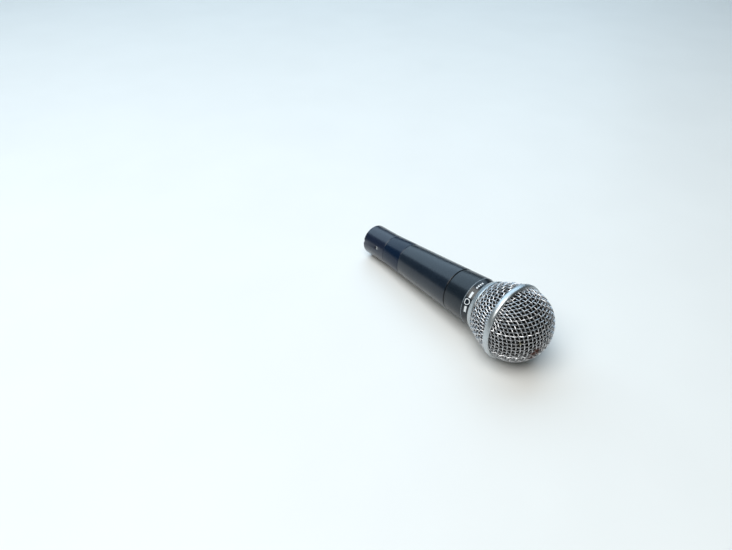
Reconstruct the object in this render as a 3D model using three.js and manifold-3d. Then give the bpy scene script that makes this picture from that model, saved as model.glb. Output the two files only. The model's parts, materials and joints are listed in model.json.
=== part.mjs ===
// A handheld dynamic vocal microphone, lying on a flat surface with its tail rim and the band of
// its ball both touching it. Millimetres, +Z up, the head points to +X.
// Every piece is built in the microphone's own frame: X is the station along the axis, counted
// from the tail face, and an azimuth turns from +Y towards +Z.
import * as THREE from 'three';
import { mergeVertices } from 'three/addons/utils/BufferGeometryUtils.js';
import Module from 'manifold-3d';

const wasm = await Module();
wasm.setup();

// Clearances
const seatGap = 0.3; // between pieces that seat on or in each other
const threadGap = 0.3; // radial, between screwed pieces, whose threads are plain sleeves here
const cartridgeTravel = 0.8; // the cartridge floats this far each way in its rubber mount
const diaphragmTravel = 0.25; // the diaphragm and its coil move this far each way

// Facets
const outerSides = 40;
const innerSides = 24;
const pinSides = 10;

// Handle
const tailWall = 3.6; // round the plug socket
const tailStraight = 21.4;
const handleLength = 91.8;
const handleWall = 2.3;
const threadSocketWall = 2.65; // round the collar's thread, at the seam
const rimChamfer = 0.5;
const keyAzimuth = THREE.MathUtils.degToRad(163); // side of the plug key, the notch and the set screw

// Plug socket in the tail
const socketRadius = 8.0;
const socketDepth = 13.6;
const keyWidth = 4.2;
const keyHeight = 1.3;
const notchWidth = 1.8;
const notchDepth = 1.0;
const insertLength = 7.4;
const shoulderHeight = 1.2;
const shoulderLength = 2.5;
const pinRadius = 1.2;
const pinCircle = 4.05;
const pinRecess = 1.0;
const pinTail = 3.4;
const cupRadius = 0.75;
const cupDepth = 2.0;

// Set screw that holds the insert
const screwRadius = 1.25;
const screwSunk = 0.6;
const screwSlotWidth = 0.5;
const screwSlotDepth = 0.8;

// Ground spring between the first pin and the handle
const springWidth = 2.0;
const springThickness = 0.4;
const springLength = 6.0;

// Transformer
const coreStart = 36.5;
const coreLength = 17.0;
const coreStack = 6.0;
const coreLeg = 4.0;
const coreSideLeg = 1.4;
const coreYoke = 2.0;
const bobbinWall = 0.6;
const windingDepth = 1.4; // above and below the core
const windingClearance = 0.5; // beside it, to the core's side legs
const sleeveWall = 0.4; // at its thinnest, beside the core's corners
const sleeveOverhang = 1.5;
const leadRadius = 0.55;
const leadSides = 8;
const leadSpread = 3.0;

// Collar
const handleThreadLength = 10.5;
const handleThreadWall = 1.5;
const collarLength = 16.6;
const collarTaper = 0.95;
const bevelLength = 6.0;
const bevelDrop = 1.3;
const bevelStep = 0.4;
const grilleThreadLength = 6.3;
const grilleThreadWall = 2.4;
const mountBoreDepth = 18.0;

// Rubber shock mount and its threaded ring
const mountRingLength = 2.8;
const mountRingClearance = 0.9; // between the ring and the cartridge's neck
const rubberHeight = 3.1; // radial, from the neck to the collar
const rubberWall = 1.0;
const rubberWeb = 3.0;
const spannerSlotWidth = 2.0;
const spannerSlotDepth = 1.2;

// Cartridge
const neckRadius = 8.5;
const neckLength = 22.5;
const plasticWall = 1.2;
const headWall = 1.4;
const headBase = 1.8;
const feltThickness = 0.8;
const portCount = 8;
const portEdge = 0.15; // left beside a port
const yokeLength = 5.7;
const yokeFloor = 1.6;
const magnetLength = 2.4;
const poleRadius = 6.8;
const poleOverhang = 0.2; // of the pole piece round the magnet
const poleLength = 2.7;
const topPlateWidth = 2.6;
const topPlateThickness = 1.3;
const yokeRelief = 1.0; // of the yoke's bore behind the top plate
const magneticGap = 1.3;
const coilThickness = 0.5;
const coilLength = 3.6;
const coilStandOff = 1.2;
const diaphragmThickness = 0.3;
const diaphragmRim = 0.8;
const coilLedge = 0.2; // from the coil out to the foot of the surround
const surroundHeight = 0.7;
const diaphragmDome = 1.8;
const clampRingLength = 1.0;
const capPlate = 1.0;
const capHoleCount = 6;
const capHoleRadius = 1.3;
const capHoleCircle = 6.0;
const screenThickness = 0.5;
const capRim = 0.2;
const chamberLength = 26.0;
const chamberWall = 0.8;
const chamberSeat = 10.0;
const boardThickness = 1.3;
const boardInset = 0.6;
const tagLength = 3.0;
const tagWidth = 1.6;
const tagThickness = 0.4;

// Grille
const ringHeight = 2.5; // above the thread, at the collar's side
const ringFlare = 1.5;
const ringLength = 3.9;
const ringEdge = 0.3;
const ringSleeve = 1.3;
const ringSleeveLength = 2.3;
const rearMeshLength = 16.2;
const rearMeshStep = 0.1; // below the ring's rim
const rearMeshBulge = 1.73;
const bandWidth = 4.1;
const bandProud = 1.4; // above the mesh
const bandCrown = 1.2;
const bandCorner = 0.8;
const domeRadius = 24.0;
const domeDepth = 22.8;
const meshThickness = 1.2;
const foamThickness = 3.5;

// Radii, from the plug socket and from the cartridge outwards
const tailRadius = socketRadius + tailWall;
const shoulderRadius = socketRadius - shoulderHeight;
const mountBoreRadius = neckRadius + rubberHeight + 2 * seatGap;
const grilleThreadRadius = mountBoreRadius + grilleThreadWall;
const bevelEndRadius = grilleThreadRadius + bevelStep;
const bevelRadius = bevelEndRadius + bevelDrop;
const seamRadius = bevelRadius - collarTaper;
const threadBore = seamRadius - threadSocketWall;
const handleThreadRadius = threadBore - threadGap;
const collarBoreRadius = handleThreadRadius - handleThreadWall;
const motorRadius = poleRadius + magneticGap + topPlateWidth;
const headBore = motorRadius + seatGap;
const headRadius = headBore + headWall;
const neckBore = neckRadius - plasticWall;
const chamberRadius = neckBore - seatGap;
const ringBore = grilleThreadRadius + threadGap;
const ringStartRadius = grilleThreadRadius + ringHeight;
const ringEndRadius = ringStartRadius + ringFlare;
const rearMeshStart = ringEndRadius - rearMeshStep;
const bandRadius = domeRadius + bandProud;

// Stations along the axis
const insertEnd = socketDepth + insertLength;
const shoulderStart = insertEnd + seatGap;
const cavityStart = shoulderStart + shoulderLength;
const collarStart = handleLength + seatGap;
const bevelStart = collarStart + collarLength;
const bevelEnd = bevelStart + bevelLength;
const collarFront = bevelEnd + grilleThreadLength;
const ringStart = bevelEnd + seatGap;
const ringEnd = ringStart + ringLength;
const bandStart = ringEnd + rearMeshLength;
const bandEnd = bandStart + bandWidth;
const headStart = collarFront + cartridgeTravel + 2 * seatGap;
const headFloor = headStart + headBase;
const feltEnd = headFloor + seatGap + feltThickness;
const yokeStart = feltEnd + seatGap;
const yokeEnd = yokeStart + yokeLength;
const magnetStart = yokeStart + yokeFloor + seatGap;
const poleStart = magnetStart + magnetLength + seatGap;
const topPlateStart = yokeEnd + seatGap;
const topPlateEnd = topPlateStart + topPlateThickness;
const coilEnd = topPlateEnd + coilStandOff;
const diaphragmStart = coilEnd + seatGap;
const clampRingStart = diaphragmStart + diaphragmThickness + diaphragmTravel + seatGap;
const headEnd = clampRingStart + clampRingLength;
const domePeak = diaphragmStart + diaphragmThickness + diaphragmDome;
const capStart = headEnd + seatGap;
const capPlateStart = Math.max(capStart, domePeak + diaphragmTravel) + seatGap;
const screenStart = capPlateStart + capPlate + seatGap;
const capEnd = screenStart + screenThickness + capRim;
const neckStart = headStart - neckLength;
const chamberStart = neckStart + chamberSeat - chamberLength;
const boardEnd = chamberStart - seatGap;
const boardStart = boardEnd - boardThickness;
const tagStart = boardStart + seatGap - tagLength;

const keyDirection = new THREE.Vector3(0, Math.cos(keyAzimuth), Math.sin(keyAzimuth));

// Outer radius of the handle at a station
function handleRadius(station) {
  const run = Math.max(0, station - tailStraight) / (handleLength - tailStraight);
  return tailRadius + (seamRadius - tailRadius) * run;
}

// Outer radius of the rear mesh at a station
function rearMeshRadius(station) {
  const left = Math.max(0, 1 - (station - ringEnd) / rearMeshLength);
  return rearMeshStart + (domeRadius - rearMeshStart) * (1 - Math.pow(left, rearMeshBulge));
}

// Points [radius, station] of the front dome, pulled in by an inset, from the band to the axis
function domeArc(inset, start, steps) {
  const radius = domeRadius - inset;
  const depth = domeDepth - inset;
  const first = Math.asin(Math.max(0, start - bandEnd) / depth);
  const points = [];
  for (let i = 0; i <= steps; i += 1) {
    const angle = first + (Math.PI / 2 - first) * (i / steps);
    points.push([i === steps ? 0 : radius * Math.cos(angle), bandEnd + depth * Math.sin(angle)]);
  }
  return points;
}

// Points of the rear mesh, pulled in by an inset, from one station to another
function rearArc(inset, start, end, steps) {
  const points = [];
  for (let i = 0; i <= steps; i += 1) {
    const station = start + (end - start) * (i / steps);
    points.push([rearMeshRadius(station) - inset, station]);
  }
  return points;
}

// A turned solid about the X axis from an outline of [radius, station] points; a flat of the
// polygon, not a corner, is turned to the bottom.
function turned(outline, sides) {
  const points = outline.map(([radius, station]) => new THREE.Vector2(radius, station));
  if (THREE.ShapeUtils.area(points) < 0) points.reverse();
  const onAxis = points[0].x === 0 && points[points.length - 1].x === 0;
  if (!onAxis) points.push(points[0].clone());
  const geometry = new THREE.LatheGeometry(points, sides, Math.PI / sides);
  geometry.rotateZ(-Math.PI / 2);
  return geometry;
}

// A plain turned ring
function ring(innerRadius, outerRadius, start, end, sides) {
  return turned([
    [innerRadius, start],
    [outerRadius, start],
    [outerRadius, end],
    [innerRadius, end],
  ], sides);
}

// A plain turned disc
function disc(radius, start, end, sides) {
  return turned([[0, start], [radius, start], [radius, end], [0, end]], sides);
}

// A round bar along the X axis, centred on a point of the cross-section
function rod(radius, start, end, centre, sides) {
  const geometry = new THREE.CylinderGeometry(radius, radius, end - start, sides);
  geometry.rotateZ(-Math.PI / 2);
  geometry.translate((start + end) / 2, centre.y, centre.z);
  return geometry;
}

// A round bar along a radius of the microphone
function spoke(radius, from, to, station, azimuth, sides) {
  const geometry = new THREE.CylinderGeometry(radius, radius, to - from, sides);
  geometry.translate(0, (from + to) / 2, 0);
  geometry.rotateX(azimuth);
  geometry.translate(station, 0, 0);
  return geometry;
}

// A block between two corners
function block(low, high) {
  const size = high.clone().sub(low);
  const geometry = new THREE.BoxGeometry(size.x, size.y, size.z);
  const centre = low.clone().add(high).multiplyScalar(0.5);
  geometry.translate(centre.x, centre.y, centre.z);
  return geometry;
}

// A block standing on a radius: along X, across the radius, and from one radius to another
function radialBlock(start, end, width, from, to, azimuth) {
  const geometry = new THREE.BoxGeometry(end - start, to - from, width);
  geometry.translate((start + end) / 2, (from + to) / 2, 0);
  geometry.rotateX(azimuth);
  return geometry;
}

// A point on a circle of the cross-section
function around(radius, azimuth) {
  return new THREE.Vector3(0, radius * Math.cos(azimuth), radius * Math.sin(azimuth));
}

// A boolean solid from a closed geometry
function solidOf(geometry) {
  const bare = geometry.index ? geometry.toNonIndexed() : geometry.clone();
  bare.deleteAttribute('normal');
  bare.deleteAttribute('uv');
  const merged = mergeVertices(bare, 1e-4);
  const corners = merged.index.array;
  const kept = [];
  for (let i = 0; i < corners.length; i += 3) {
    const [a, b, c] = [corners[i], corners[i + 1], corners[i + 2]];
    if (a !== b && b !== c && c !== a) kept.push(a, b, c);
  }
  return new wasm.Manifold(new wasm.Mesh({
    numProp: 3,
    vertProperties: merged.getAttribute('position').array,
    triVerts: new Uint32Array(kept),
  }));
}

// A geometry from a boolean solid
function geometryOf(solid) {
  const mesh = solid.getMesh();
  const geometry = new THREE.BufferGeometry();
  geometry.setAttribute('position', new THREE.BufferAttribute(mesh.vertProperties, 3));
  geometry.setIndex(new THREE.BufferAttribute(mesh.triVerts, 1));
  geometry.computeVertexNormals();
  return geometry;
}

// A solid with others cut out of it
function cut(base, ...tools) {
  let solid = solidOf(base);
  for (const tool of tools) solid = solid.subtract(solidOf(tool));
  return geometryOf(solid);
}

// Azimuths of the three contact pins: two beside the key, one opposite it
const pinAzimuths = [60, -60, 180].map((turn) => keyAzimuth + THREE.MathUtils.degToRad(turn));

// Die-cast handle: a straight tail, a long taper, the plug socket and the thread for the collar
function handle() {
  const threadFloor = handleLength - handleThreadLength - seatGap;
  const shell = turned([
    [tailRadius - rimChamfer, 0],
    [tailRadius, rimChamfer],
    [tailRadius, tailStraight],
    [seamRadius, handleLength],
    [threadBore, handleLength],
    [threadBore, threadFloor],
    [handleRadius(threadFloor) - handleWall, threadFloor],
    [handleRadius(cavityStart) - handleWall, cavityStart],
    [shoulderRadius, cavityStart],
    [shoulderRadius, shoulderStart],
    [socketRadius, shoulderStart],
    [socketRadius, 0],
  ], outerSides);
  const keyway = radialBlock(-1, socketDepth, keyWidth, 0, socketRadius + keyHeight, keyAzimuth);
  const notch = radialBlock(-1, notchDepth, notchWidth, 0, tailRadius + 1, keyAzimuth);
  const screwHole = spoke(
    screwRadius + threadGap, 0, tailRadius + 1, setScrewStation(), keyAzimuth, innerSides);
  return cut(shell, keyway, notch, screwHole);
}

function setScrewStation() {
  return socketDepth + screwRadius + 2 * threadGap;
}

// Moulded insert that carries the pins
function insert() {
  const body = disc(socketRadius - seatGap, socketDepth, insertEnd, outerSides);
  const holes = pinAzimuths.map((azimuth) => rod(
    pinRadius + seatGap, socketDepth - 1, insertEnd + 1, around(pinCircle, azimuth), pinSides));
  const dimple = spoke(
    screwRadius + threadGap, socketRadius - 2 * seatGap - 0.6, tailRadius,
    setScrewStation(), keyAzimuth, innerSides);
  return cut(body, ...holes, dimple);
}

// Contact pin with a rounded tip and a solder cup
function pin(azimuth) {
  const end = insertEnd + pinTail;
  const geometry = turned([
    [0, pinRecess],
    [pinRadius * 0.6, pinRecess + pinRadius * 0.15],
    [pinRadius, pinRecess + pinRadius * 0.7],
    [pinRadius, end],
    [cupRadius, end],
    [cupRadius, end - cupDepth],
    [0, end - cupDepth],
  ], pinSides);
  const centre = around(pinCircle, azimuth);
  geometry.translate(0, centre.y, centre.z);
  return geometry;
}

// Slotted set screw, sunk a little below the handle's surface
function setScrew() {
  const top = tailRadius - screwSunk;
  const station = setScrewStation();
  const body = spoke(screwRadius, socketRadius - seatGap, top, station, keyAzimuth, innerSides);
  const slot = radialBlock(
    station - screwRadius - 1, station + screwRadius + 1, screwSlotWidth,
    top - screwSlotDepth, top + 1, keyAzimuth);
  return cut(body, slot);
}

// Bent strip from the first pin to the handle's wall
function groundSpring() {
  const start = cavityStart + seatGap;
  const wall = handleRadius(start) - handleWall - seatGap;
  const foot = pinCircle + pinRadius + seatGap;
  const outline = new THREE.Shape([
    new THREE.Vector2(start, foot),
    new THREE.Vector2(start + springThickness, foot),
    new THREE.Vector2(start + springThickness, wall - 2 * springThickness),
    new THREE.Vector2(start + springLength / 2, wall - springThickness),
    new THREE.Vector2(start + springLength, wall - 3 * springThickness),
    new THREE.Vector2(start + springLength, wall - 2 * springThickness),
    new THREE.Vector2(start + springLength / 2, wall),
    new THREE.Vector2(start, wall - springThickness),
  ]);
  const geometry = new THREE.ExtrudeGeometry(outline, { depth: springWidth, bevelEnabled: false });
  geometry.translate(0, 0, -springWidth / 2);
  geometry.rotateX(pinAzimuths[0]);
  return geometry;
}

// Transformer sizes: the winding sets the height, and the core fills what its sleeve leaves
const sleeveStart = coreStart - sleeveOverhang;
const sleeveEnd = coreStart + coreLength + sleeveOverhang;
const sleeveRadius = handleRadius(sleeveStart) - handleWall - 2 * seatGap;
const bobbinStart = coreStart + coreYoke + seatGap;
const bobbinEnd = coreStart + coreLength - coreYoke - seatGap;
const bobbinHalfWidth = coreLeg / 2 + seatGap + bobbinWall;
const bobbinHalfHeight = coreStack / 2 + seatGap + bobbinWall;
const windingHalfHeight = bobbinHalfHeight + seatGap + windingDepth;
const coreHalfWidth = Math.sqrt(
  (sleeveRadius - sleeveWall) ** 2 - (windingHalfHeight + seatGap) ** 2) - seatGap;
const windingHalfWidth = coreHalfWidth - coreSideLeg - windingClearance;

// Laminated core: a frame with a centre leg
function transformerCore() {
  const low = new THREE.Vector3(coreStart, -coreHalfWidth, -coreStack / 2);
  const high = new THREE.Vector3(coreStart + coreLength, coreHalfWidth, coreStack / 2);
  const windows = [-1, 1].map((side) => {
    const near = coreLeg / 2;
    const far = coreHalfWidth - coreSideLeg;
    return block(
      new THREE.Vector3(coreStart + coreYoke, Math.min(side * near, side * far), -coreStack),
      new THREE.Vector3(coreStart + coreLength - coreYoke, Math.max(side * near, side * far), coreStack));
  });
  return cut(block(low, high), ...windows);
}

// A block centred on the axis, given by its stations and half sizes
function centred(start, end, halfWidth, halfHeight) {
  return block(
    new THREE.Vector3(start, -halfWidth, -halfHeight),
    new THREE.Vector3(end, halfWidth, halfHeight));
}

// Spool round the centre leg
function transformerBobbin() {
  const waistStart = bobbinStart + bobbinWall;
  const waistEnd = bobbinEnd - bobbinWall;
  const outer = centred(bobbinStart, bobbinEnd, windingHalfWidth, windingHalfHeight);
  const leg = centred(
    bobbinStart - 1, bobbinEnd + 1, bobbinHalfWidth - bobbinWall, bobbinHalfHeight - bobbinWall);
  const waist = cut(
    centred(waistStart, waistEnd, windingHalfWidth + 1, windingHalfHeight + 1),
    centred(waistStart - 1, waistEnd + 1, bobbinHalfWidth, bobbinHalfHeight));
  return cut(outer, leg, waist);
}

// Copper winding on the spool
function transformerWinding() {
  const start = bobbinStart + bobbinWall + seatGap;
  const end = bobbinEnd - bobbinWall - seatGap;
  return cut(
    centred(start, end, windingHalfWidth, windingHalfHeight),
    centred(start - 1, end + 1, bobbinHalfWidth + seatGap, bobbinHalfHeight + seatGap));
}

// Potting sleeve that holds the transformer in the handle
function transformerSleeve() {
  const hole = centred(
    sleeveStart - 1, sleeveEnd + 1, coreHalfWidth + seatGap, windingHalfHeight + seatGap);
  return cut(disc(sleeveRadius, sleeveStart, sleeveEnd, innerSides), hole);
}

// Insulated wire along a route
function lead(route) {
  const curve = new THREE.CatmullRomCurve3(route, false, 'centripetal');
  const section = new THREE.Shape();
  section.absarc(0, 0, leadRadius, 0, 2 * Math.PI, false);
  return new THREE.ExtrudeGeometry(section, {
    extrudePath: curve,
    steps: 4 * route.length,
    curveSegments: leadSides / 2,
    bevelEnabled: false,
  });
}

const leadHeight = (coreStack / 2 + windingHalfHeight + seatGap) / 2;

// Wire from a cartridge terminal back to the transformer
function cartridgeLead(side) {
  const start = bobbinEnd + seatGap + 0.2;
  const clear = coreStart + coreLength + 3;
  const beside = leadSpread + tagThickness / 2 + seatGap + leadRadius;
  return lead([
    new THREE.Vector3(start, side * leadSpread, leadHeight),
    new THREE.Vector3(clear, side * leadSpread, leadHeight),
    new THREE.Vector3(clear + 0.3 * (tagStart - clear), side * leadSpread * 0.4, leadHeight * 1.3),
    new THREE.Vector3(clear + 0.7 * (tagStart - clear), side * leadSpread * 1.3, leadHeight * 0.5),
    new THREE.Vector3(tagStart - 2, side * beside, 0),
    new THREE.Vector3(tagStart + tagLength - cartridgeTravel - 3 * seatGap, side * beside, 0),
  ]);
}

// Wire from the transformer back to the solder cup of a pin
function outputLead(side, azimuth) {
  const end = insertEnd + pinTail + seatGap + 0.1;
  const cup = around(pinCircle, azimuth);
  const start = coreStart - 3;
  return lead([
    new THREE.Vector3(end, cup.y, cup.z),
    new THREE.Vector3(end + 2.5, cup.y, cup.z),
    new THREE.Vector3(start, side * leadSpread, leadHeight),
    new THREE.Vector3(bobbinStart - seatGap - 0.2, side * leadSpread, leadHeight),
  ]);
}

// Collar: screws into the handle, carries the shock mount and takes the grille's thread
function collar() {
  const threadStart = handleLength - handleThreadLength;
  const mountFloor = collarFront - mountBoreDepth;
  return turned([
    [collarBoreRadius, threadStart],
    [handleThreadRadius, threadStart],
    [handleThreadRadius, collarStart],
    [seamRadius, collarStart],
    [bevelRadius, bevelStart],
    [bevelEndRadius, bevelEnd],
    [grilleThreadRadius, bevelEnd],
    [grilleThreadRadius, collarFront],
    [mountBoreRadius, collarFront],
    [mountBoreRadius, mountFloor],
    [collarBoreRadius, mountFloor],
  ], outerSides);
}

const rubberStart = collarFront - mountBoreDepth + seatGap;
const rubberEnd = collarFront - mountRingLength - seatGap;
const rubberInner = neckRadius + seatGap;
const rubberOuter = mountBoreRadius - seatGap;

// Rubber shock mount: an outer and an inner sleeve joined by a web
function shockMount() {
  const middle = (rubberStart + rubberEnd) / 2;
  const webStart = middle - rubberWeb / 2;
  const webEnd = middle + rubberWeb / 2;
  return turned([
    [rubberInner, rubberStart],
    [rubberInner + rubberWall, rubberStart],
    [rubberInner + rubberWall, webStart],
    [rubberOuter - rubberWall, webStart],
    [rubberOuter - rubberWall, rubberStart],
    [rubberOuter, rubberStart],
    [rubberOuter, rubberEnd],
    [rubberOuter - rubberWall, rubberEnd],
    [rubberOuter - rubberWall, webEnd],
    [rubberInner + rubberWall, webEnd],
    [rubberInner + rubberWall, rubberEnd],
    [rubberInner, rubberEnd],
  ], innerSides);
}

// Threaded ring that keeps the rubber mount in the collar, with two spanner slots
function mountRing() {
  const start = collarFront - mountRingLength;
  const body = ring(neckRadius + mountRingClearance, rubberOuter, start, collarFront, innerSides);
  const slot = block(
    new THREE.Vector3(collarFront - spannerSlotDepth, -spannerSlotWidth / 2, -mountBoreRadius),
    new THREE.Vector3(collarFront + 1, spannerSlotWidth / 2, mountBoreRadius));
  return cut(body, slot);
}

// Cartridge frame: a neck held by the rubber and a cup for the motor, with rear ports
function cartridgeFrame() {
  const cup = turned([
    [neckBore, neckStart],
    [neckRadius, neckStart],
    [neckRadius, headStart],
    [headRadius, headStart],
    [headRadius, headEnd],
    [headBore, headEnd],
    [headBore, headFloor],
    [neckBore, headFloor],
  ], innerSides);
  const portCircle = (neckRadius + headBore) / 2;
  const portRadius = (headBore - neckRadius) / 2 - portEdge;
  const ports = [];
  for (let i = 0; i < portCount; i += 1) {
    const azimuth = (i / portCount) * 2 * Math.PI;
    ports.push(rod(portRadius, headStart - 1, headFloor + 1, around(portCircle, azimuth), pinSides));
  }
  return cut(cup, ...ports);
}

const coilRadius = poleRadius + (magneticGap - coilThickness) / 2;

// Felt ring behind the rear ports
function portFelt() {
  return ring(neckBore + seatGap, motorRadius, headFloor + seatGap, feltEnd, innerSides);
}

// Steel cup that carries the magnet
function yokeCup() {
  const wall = poleRadius + magneticGap + yokeRelief;
  return turned([
    [0, yokeStart],
    [motorRadius, yokeStart],
    [motorRadius, yokeEnd],
    [wall, yokeEnd],
    [wall, yokeStart + yokeFloor],
    [0, yokeStart + yokeFloor],
  ], innerSides);
}

// Disc magnet
function magnet() {
  return disc(poleRadius - poleOverhang, magnetStart, magnetStart + magnetLength, innerSides);
}

// Pole piece on the magnet
function polePiece() {
  return disc(poleRadius, poleStart, poleStart + poleLength, innerSides);
}

// Top plate round the magnetic gap
function topPlate() {
  return ring(poleRadius + magneticGap, motorRadius, topPlateStart, topPlateEnd, innerSides);
}

// Voice coil in the magnetic gap
function voiceCoil() {
  return ring(coilRadius, coilRadius + coilThickness, coilEnd - coilLength, coilEnd, innerSides);
}

// Film diaphragm: a flat rim, a rolled surround and a centre dome
function diaphragm() {
  const rimInner = motorRadius - diaphragmRim;
  const valley = coilRadius + coilThickness + coilLedge;
  const steps = 4;
  const front = [[motorRadius, 0], [rimInner, 0]];
  for (let i = 1; i <= steps; i += 1) {
    const angle = (i / steps) * Math.PI;
    const radius = rimInner - ((rimInner - valley) / 2) * (1 - Math.cos(angle));
    front.push([radius, surroundHeight * Math.sin(angle)]);
  }
  for (let i = 1; i <= steps; i += 1) {
    const angle = (i / steps) * (Math.PI / 2);
    front.push([i === steps ? 0 : valley * Math.cos(angle), diaphragmDome * Math.sin(angle)]);
  }
  const back = front.map(([radius, height]) => [radius, diaphragmStart + height]);
  const face = front.map(([radius, height]) => [radius, diaphragmStart + diaphragmThickness + height]);
  return turned([...back.reverse(), ...face], innerSides);
}

// Ring that clamps the diaphragm's rim
function clampRing() {
  return ring(motorRadius - diaphragmRim, motorRadius, clampRingStart, headEnd, innerSides);
}

// Perforated cap over the diaphragm
function resonatorCap() {
  const body = turned([
    [0, capPlateStart],
    [headBore, capPlateStart],
    [headBore, capStart],
    [headRadius, capStart],
    [headRadius, capEnd],
    [headBore, capEnd],
    [headBore, capPlateStart + capPlate],
    [0, capPlateStart + capPlate],
  ], innerSides);
  const centre = new THREE.Vector3();
  const holes = [rod(capHoleRadius, capPlateStart - 1, capEnd + 1, centre, pinSides)];
  for (let i = 0; i < capHoleCount; i += 1) {
    const azimuth = (i / capHoleCount) * 2 * Math.PI;
    holes.push(rod(
      capHoleRadius, capPlateStart - 1, capEnd + 1, around(capHoleCircle, azimuth), pinSides));
  }
  return cut(body, ...holes);
}

// Cloth disc in the cap's recess
function frontScreen() {
  return disc(headBore - seatGap, screenStart, screenStart + screenThickness, innerSides);
}

// Rear chamber of the cartridge: a can open to the front, with a hole for its wires
function rearChamber() {
  const end = chamberStart + chamberLength;
  const inner = chamberRadius - chamberWall;
  return turned([
    [leadRadius * 3, chamberStart],
    [chamberRadius, chamberStart],
    [chamberRadius, end],
    [inner, end],
    [inner, chamberStart + chamberWall],
    [leadRadius * 3, chamberStart + chamberWall],
  ], innerSides);
}

// Terminal board behind the chamber, with slots for its two tags
function terminalBoard() {
  const body = ring(leadRadius * 3, chamberRadius - boardInset, boardStart, boardEnd, innerSides);
  const slots = [-1, 1].map((side) => tag(side, seatGap));
  return cut(body, ...slots);
}

// Solder tag through the terminal board, grown by a clearance when it is used as a cutter
function tag(side, grow) {
  const halfThickness = tagThickness / 2 + grow;
  return block(
    new THREE.Vector3(tagStart - grow, side * leadSpread - halfThickness, -tagWidth / 2 - grow),
    new THREE.Vector3(tagStart + tagLength + grow, side * leadSpread + halfThickness, tagWidth / 2 + grow));
}

// Base ring of the grille: a flared rim and a threaded sleeve
function grilleRing() {
  const sleeve = ringBore + ringSleeve;
  return turned([
    [ringBore, ringStart],
    [ringStartRadius - ringEdge, ringStart],
    [ringStartRadius, ringStart + ringEdge],
    [ringEndRadius, ringEnd - ringEdge],
    [ringEndRadius - ringEdge, ringEnd],
    [sleeve, ringEnd],
    [sleeve, ringEnd + ringSleeveLength],
    [ringBore, ringEnd + ringSleeveLength],
  ], outerSides);
}

// Rear half of the ball, a flared shell of wire mesh
function rearMesh() {
  const start = ringEnd + seatGap;
  const end = bandStart - seatGap;
  return turned([
    ...rearArc(0, start, end, 6),
    ...rearArc(meshThickness, start, end, 5).reverse(),
  ], outerSides);
}

// Rolled band round the ball
function band() {
  const shoulder = bandRadius - bandCorner;
  const inner = domeRadius - meshThickness;
  const middle = (bandStart + bandEnd) / 2;
  const side = (bandWidth - bandCrown) / 4;
  return turned([
    [inner, bandStart],
    [shoulder, bandStart],
    [bandRadius - bandCorner * 0.35, bandStart + side],
    [bandRadius, middle - bandCrown / 2],
    [bandRadius, middle + bandCrown / 2],
    [bandRadius - bandCorner * 0.35, bandEnd - side],
    [shoulder, bandEnd],
    [inner, bandEnd],
  ], outerSides);
}

// Front half of the ball, a dome of wire mesh
function frontMesh() {
  const start = bandEnd + seatGap;
  return turned([
    ...domeArc(meshThickness, start, 8).reverse(),
    ...domeArc(0, start, 10),
  ], outerSides);
}

// Foam liner behind the mesh
function windscreenFoam() {
  const start = ringEnd + ringSleeveLength + seatGap;
  const outer = meshThickness + seatGap;
  const inner = outer + foamThickness;
  return turned([
    ...domeArc(inner, bandEnd, 5).reverse(),
    ...rearArc(inner, start, bandStart, 3).reverse(),
    ...rearArc(outer, start, bandStart, 5),
    ...domeArc(outer, bandEnd, 8),
  ], outerSides);
}

const finishes = {
  enamel: { color: 0x2b333f, roughness: 0.42, metalness: 0.3 },
  enamelBevel: { color: 0x232a34, roughness: 0.45, metalness: 0.3 },
  steel: { color: 0xb9bec4, roughness: 0.3, metalness: 1.0 },
  mesh: { color: 0x9ba0a6, roughness: 0.4, metalness: 1.0 },
  dullSteel: { color: 0x7c8085, roughness: 0.5, metalness: 1.0 },
  core: { color: 0x4c4f54, roughness: 0.6, metalness: 0.9 },
  gold: { color: 0xcaa14c, roughness: 0.25, metalness: 1.0 },
  copper: { color: 0xa9592f, roughness: 0.35, metalness: 1.0 },
  blackPlastic: { color: 0x17191c, roughness: 0.5, metalness: 0.0 },
  greyPlastic: { color: 0x4a4d50, roughness: 0.5, metalness: 0.0 },
  rubber: { color: 0x1a1a1b, roughness: 0.85, metalness: 0.0 },
  foam: { color: 0x0e0f10, roughness: 0.95, metalness: 0.0 },
  film: { color: 0xbfc3b4, roughness: 0.3, metalness: 0.0 },
  felt: { color: 0x6a665d, roughness: 0.95, metalness: 0.0 },
  potting: { color: 0xb7a27a, roughness: 0.7, metalness: 0.0 },
  board: { color: 0x6d4a2a, roughness: 0.6, metalness: 0.0 },
  yellowWire: { color: 0xc9a31f, roughness: 0.5, metalness: 0.0 },
  greenWire: { color: 0x2b6b3a, roughness: 0.5, metalness: 0.0 },
  redWire: { color: 0xa3231f, roughness: 0.5, metalness: 0.0 },
  blackWire: { color: 0x1b1b1c, roughness: 0.5, metalness: 0.0 },
};

const microphone = new THREE.Group();

function add(name, geometry, finish) {
  const mesh = new THREE.Mesh(geometry, new THREE.MeshStandardMaterial(finishes[finish]));
  mesh.name = name;
  microphone.add(mesh);
}

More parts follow.
